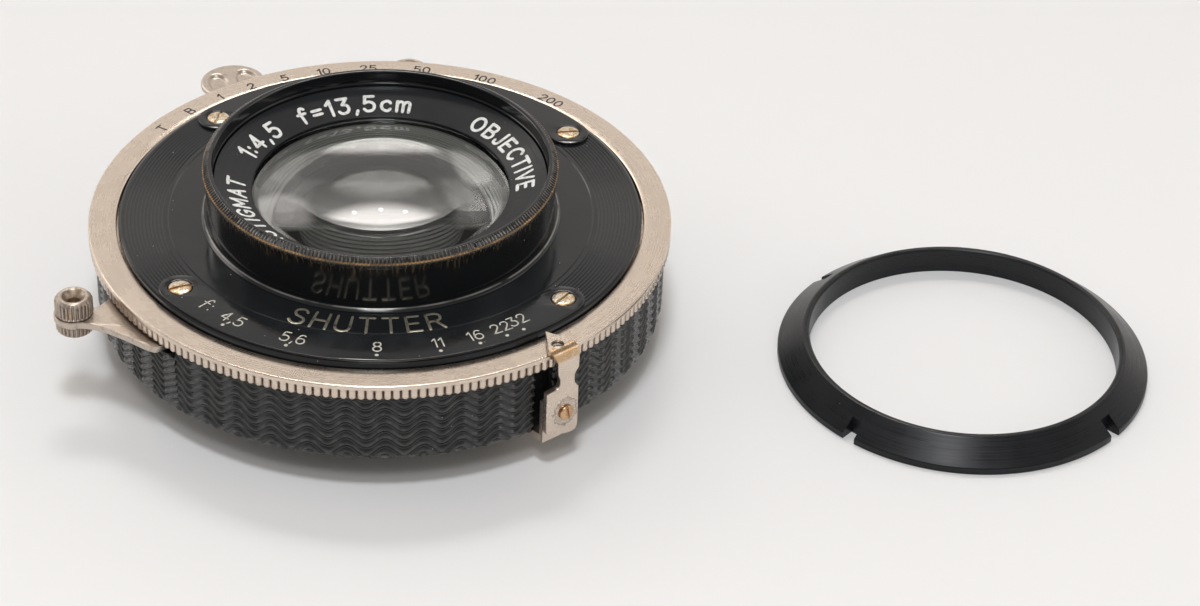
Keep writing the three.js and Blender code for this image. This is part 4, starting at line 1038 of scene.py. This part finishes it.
def make_pointer():
    """The strip that is screwed to the arm, notched, folded over the rim and pointed towards the scale."""
    bend, top = 0.85, FACE_Z + 0.35 + POINTER_THICKNESS
    outer_x = POINTER_X + POINTER_THICKNESS
    # Height, then the left and right edges at that height.
    upright = [(4.12, 0.7, 1.2), (4.2, 0.2, 1.5), (4.35, -0.6, 1.7), (4.6, -1.6, 1.85), (4.85, -2.3, 1.92),
               (5.05, -2.65, 1.95), (5.3, -2.85, 1.95), (5.7, -2.94, 1.95), (8, -2.95, 1.94),
               (10.6, -2.95, 1.93), (10.75, -2.95, 1.8), (10.95, -2.95, 1.62), (11.2, -2.94, 1.46),
               (11.36, -2.9, 1.39), (11.42, -2.4, 1.37), (11.46, -1.65, 1.36), (11.6, -1.25, 1.33),
               (11.9, -1.0, 1.29), (12.3, -0.9, 1.28), (12.7, -0.95, 1.34),
               (13.0, -1.06, 1.46), (13.25, -1.16, 1.62), (13.45, -1.22, 1.8), (13.6, -1.25, 1.92),
               (14.2, -1.28, 1.95), (15.2, -1.32, 1.95), (15.8, -1.6, 1.93), (top - bend, -1.85, 1.92)]
    stations = [(outer_x, z, (1, 0), left, right) for z, left, right in upright]
    for turn in np.linspace(9, 90, 10):
        way = (math.cos(math.radians(turn)), math.sin(math.radians(turn)))
        share = turn / 90
        stations.append((outer_x - bend + bend * way[0], top - bend + bend * way[1], way,
                         -1.85 - 0.42 * share, 1.92 - 0.3 * share))
    base_x, tip_x = outer_x - bend, 33.9
    for share in np.linspace(0.06, 1, 14):
        x = base_x + (tip_x - base_x) * share
        stations.append((x, top, (0, 1), -2.27 + 2.17 * share, 1.62 - 1.54 * share))
    edge = 0.08
    points = []
    for x, z, way, left, right in stations:
        section = [(left, edge), (left + edge, 0), (right - edge, 0), (right, edge),
                   (right, POINTER_THICKNESS - edge), (right - edge, POINTER_THICKNESS),
                   (left + edge, POINTER_THICKNESS), (left, POINTER_THICKNESS - edge)]
        points.append([(x - way[0] * depth, y, z - way[1] * depth) for y, depth in section])
    strip = grid(np.array(points), round_closed=False)
    dimple_x, dimple_y = 36.75, -0.42
    hole = shifted(lathe(np.array([(0, 15), (0.78, 15), (0.78, top - 0.08), (0.9, 18), (0, 18)]), 40),
                   dimple_x, dimple_y)
    piece("folded_pointer", turned(carved(strip, hole), POINTER_ANGLE), pointer_nickel(), "aperture_pointer")
    rivet = shifted(turned(slotted_head(0.7, 0.4, 0.22, 0.3, 0.3), 65), dimple_x, dimple_y, top - 0.62)
    piece("pointer_rivet", turned(rivet, POINTER_ANGLE), metal("rivet_steel", (0.50, 0.47, 0.43), 0.3),
          "aperture_pointer", stands_for=False)
    screw = turned(turned(slotted_head(1.02, 0.42, 0.42, 1.2, 0.45), 8), 90, "Y")
    screw = shifted(screw, outer_x + 0.02, 0, 7.5)
    piece("pointer_screw", turned(screw, POINTER_ANGLE), metal("pointer_brass", (0.72, 0.46, 0.27), 0.3),
          "aperture_screw")
    dress("aperture_arm", nickel("arm_nickel", 0.3, worn=0.1, brushed=False), 0.12)


def pointer_nickel():
    """Nickel worn to brass on the fold, and a rubbed patch round the screw."""
    look = nickel("pointer_nickel", 0.27, brushed=False)
    _, radius, _, z = look.place()
    tone = look.shader.inputs["Base Color"].links[0].from_socket
    fold = look.times(look.between(z, 15.1, 15.7), look.between(radius, 36.9, 37.3),
                      look.patches(0.8, 3, 0.25, 0.5))
    x, y = polar(POINTER_X + POINTER_THICKNESS, POINTER_ANGLE)
    ragged = look.math("ADD", look.distance((x, y, 7.6)), look.times(look.cloud(1.7, 4), 2.2))
    patch = look.times(look.between(ragged, 2.95, 2.75), look.patches(4, 3, 0.3, 0.52))
    ring = look.times(look.between(ragged, 3.1, 2.95), look.between(ragged, 2.7, 2.85))
    tone = look.mix(fold, tone, (0.58, 0.39, 0.22))
    tone = look.mix(look.times(patch, 0.55), tone, (0.40, 0.36, 0.31))
    look.color(look.mix(look.times(ring, 0.6), tone, (0.20, 0.15, 0.11)))
    return look


def make_loose_ring():
    """The clamping ring: a wedge section with a flat top and four spanner notches."""
    bore, outer, height = 19.85, 23.8, 3.5
    profile = rounded([(bore, 0, 0.1), (outer - 0.1, 0, 0.05), (outer, 0.1, 0.05), (outer, 0.9, 0.15),
                       (bore + 0.75, height, 0.2),
                       (bore + 0.2, height, 0.1), (bore, height - 0.2, 0.1)], 0.1)
    ring = lathe(profile, 320)
    notches = [turned(bar(21.9, outer + 1, -0.875, 0.875, -1, height, 0.02), i * 90 - 40.3) for i in range(4)]
    ring = shifted(carved(ring, *notches), *LOOSE_RING_PLACE)
    piece("clamping_ring", ring, satin_black("ring_black", 7, LOOSE_RING_PLACE, 0.3), "retaining_ring",
          crease=28)


def blade(pivot_r, inner_r, outer_r, span, closed_by, ear_r):
    """A curved strip with an eye at one end, drawn open about Z and then swung shut about its pivot."""
    side = 0.9 * ear_r
    shoulder = math.degrees(math.asin(side / outer_r))
    outline = [tuple(polar(inner_r, -2)), tuple(polar(outer_r, -shoulder))]
    outline += arc((pivot_r, 0), ear_r, -115, 115, 16)
    outline += arc((0, 0), outer_r, shoulder, span - 3, 32)
    end = polar((inner_r + outer_r) / 2, span - 3)
    outline += arc(end, (outer_r - inner_r) / 2, span, span + 170, 10)[1:-1]
    outline += arc((0, 0), inner_r, span - 3, -1, 32)
    eye = arc((pivot_r, 0), 0.62 * ear_r, 360, 30, 11)
    mesh = shifted(slab([outline, eye], 0, 0.12, 0.02), -pivot_r)
    return shifted(turned(mesh, closed_by), pivot_r)


def make_blade_set(kind, look, count, first_turn, low_z, lift, closed_by, ear_r, pivot_r, *shape):
    """Blades spaced evenly about Z, each a lift above the last. closed_by is the travel of a blade's axis."""
    swing = math.degrees(2 * math.asin(closed_by / 2 / pivot_r))
    for i in range(count):
        mesh = turned(blade(pivot_r, *shape, swing, ear_r), 360 / count * i + first_turn)
        mesh = shifted(mesh, z=low_z + lift * i)
        piece(f"{kind}_leaf_{i + 1}", mesh, look, f"{kind}_blade_{i + 1}", crease=40)


def make_blades():
    iris_look = metal("iris_steel", (0.20, 0.205, 0.215), 0.42)
    shutter_look = metal("shutter_steel", (0.50, 0.505, 0.51), 0.2)
    make_blade_set("iris", iris_look, 10, 0, 6.62, 0.16, 12.3, 1.0, 23.7, 14.3, 22.3, 120)
    make_blade_set("shutter", shutter_look, 5, 36, 9.02, 0.18, 15.9, 1.1, 26.3, 14.9, 24.7, 100)


def dress_inner_pieces():
    brass = metal("inner_brass", BRASS_COLOR, 0.32)
    steel = metal("inner_steel", (0.42, 0.43, 0.44), 0.32)
    spring = metal("spring_steel", (0.12, 0.13, 0.16), 0.3)
    for look, nodes in ((brass, ("mechanism_plate", "retard_sector")),
                        (steel, ("aperture_ring", "blade_ring", "retard_pinion", "retard_pallet")),
                        (spring, ("release_spring", "main_spring"))):
        for node in nodes:
            dress(node, look, 0.04)


make_case()
make_band()
make_speed_ring()
make_face()
make_scale_figures()
make_front_cell()
make_glass()
make_levers()
make_socket()
make_pointer()
make_loose_ring()
make_blades()
dress_inner_pieces()


# ---------------------------------------------------------------- floor, light and camera, in metres

def make_floor():
    look = Look("floor_white", (0.80, 0.80, 0.795), 0.6)
    look.set("Specular IOR Level", 0.2)
    tint = look.cloud(0.004, 2)
    look.color(look.mix(tint, (0.80, 0.80, 0.80), (0.81, 0.805, 0.795)))
    mesh = bpy.data.meshes.new("floor")
    side = 3.0
    corners = [(x * side, y * side, 0) for x, y in ((-1, -1), (1, -1), (1, 1), (-1, 1))]
    mesh.from_pydata(corners, [], [(0, 1, 2, 3)])
    mesh.materials.append(look.material)
    floor = bpy.data.objects.new("floor", mesh)
    bpy.context.scene.collection.objects.link(floor)


def soft_light(name, at, aim, size, radiance, color=(1, 1, 1)):
    """A rectangular soft light of a given brightness of its face."""
    lamp = bpy.data.lights.new(name, "AREA")
    lamp.shape = "RECTANGLE"
    lamp.size, lamp.size_y = size
    lamp.energy = radiance * math.pi * size[0] * size[1]
    lamp.color = color
    holder = bpy.data.objects.new(name, lamp)
    holder.location = at
    holder.rotation_euler = (Vector(aim) - Vector(at)).to_track_quat("-Z", "Y").to_euler()
    bpy.context.scene.collection.objects.link(holder)


def make_world():
    """A dim room by direction: a pale wall low at the back, a bright arched window above it, and sides."""
    world = bpy.data.worlds.new("studio")
    world.use_nodes = True
    sky = Nodes(world.node_tree)
    where = sky.add("ShaderNodeTexCoord", {}).outputs["Generated"]
    x, y, z = sky.add("ShaderNodeSeparateXYZ", {0: where}).outputs
    turn, height = sky.math("ARCTAN2", y, x), sky.math("ARCSINE", z)

    def window(azimuth, elevation, half_width, half_height, softness, radiance):
        squares = []
        for way, centre, half in ((turn, azimuth, half_width), (height, elevation, half_height)):
            share = sky.math("DIVIDE", sky.math("SUBTRACT", way, math.radians(centre)), math.radians(half))
            squares.append(sky.times(share, share))
        distance = sky.math("SQRT", sky.math("ADD", *squares))
        return sky.between(distance, 1 + softness, 1 - softness, 0.0, radiance)

    wall = sky.times(window(95, 20, 75, 24, 0.35, 0.50), sky.between(height, 0.68, 0.60))
    arch = sky.times(window(95, 49, 24, 13, 0.06, 13.0), sky.between(height, 0.87, 1.0))
    parts = [wall, arch, window(126, 40, 7, 12, 0.3, 3.2), window(63, 41, 6, 10, 0.3, 1.2),
             window(168, 17, 20, 12, 0.3, 2.2), window(-8, 17, 20, 12, 0.3, 1.7)]
    total = sky.between(height, 0.05, 0.13, 0.82, 0.33)
    for part in parts:
        total = sky.math("ADD", total, part)
    background = world.node_tree.nodes["Background"]
    background.inputs[0].default_value = (1.0, 0.95, 0.905, 1)
    world.node_tree.links.new(total, background.inputs[1])
    bpy.context.scene.world = world


def make_lights():
    make_world()
    soft_light("overhead", (0.0, -0.22, 0.87), (0, 0, 0), (0.14, 0.14), 44.0, (0.965, 0.995, 1.04))
    soft_light("front", (0.0, -0.49, 0.755), (0, 0, 0), (0.17, 0.17), 11.5, (0.99, 0.99, 1.0))
    away, elevation = 0.87, math.radians(56.3)
    for i, azimuth in enumerate((84, 95, 107), 1):
        lamp_at = (*polar(away * math.cos(elevation), azimuth), away * math.sin(elevation))
        soft_light(f"lamp_{i}", lamp_at, (0, 0, 0.015), (0.014, 0.014), 45.0)


def make_camera():
    camera = bpy.data.cameras.new("camera")
    camera.lens = 94.84
    camera.sensor_width = 36
    camera.clip_start, camera.clip_end = 0.01, 10
    holder = bpy.data.objects.new("camera", camera)
    pitch, roll, stands_at = 0.6216, 0.0408, (0.028303, -0.333477, 0.241996)
    aim = Matrix.Rotation(math.pi / 2 - pitch, 4, "X") @ Matrix.Rotation(roll, 4, "Z")
    holder.matrix_world = Matrix.Translation(stands_at) @ aim
    bpy.context.scene.collection.objects.link(holder)
    bpy.context.scene.camera = holder


make_floor()
make_lights()
make_camera()
bpy.context.scene.view_settings.view_transform = "Standard"
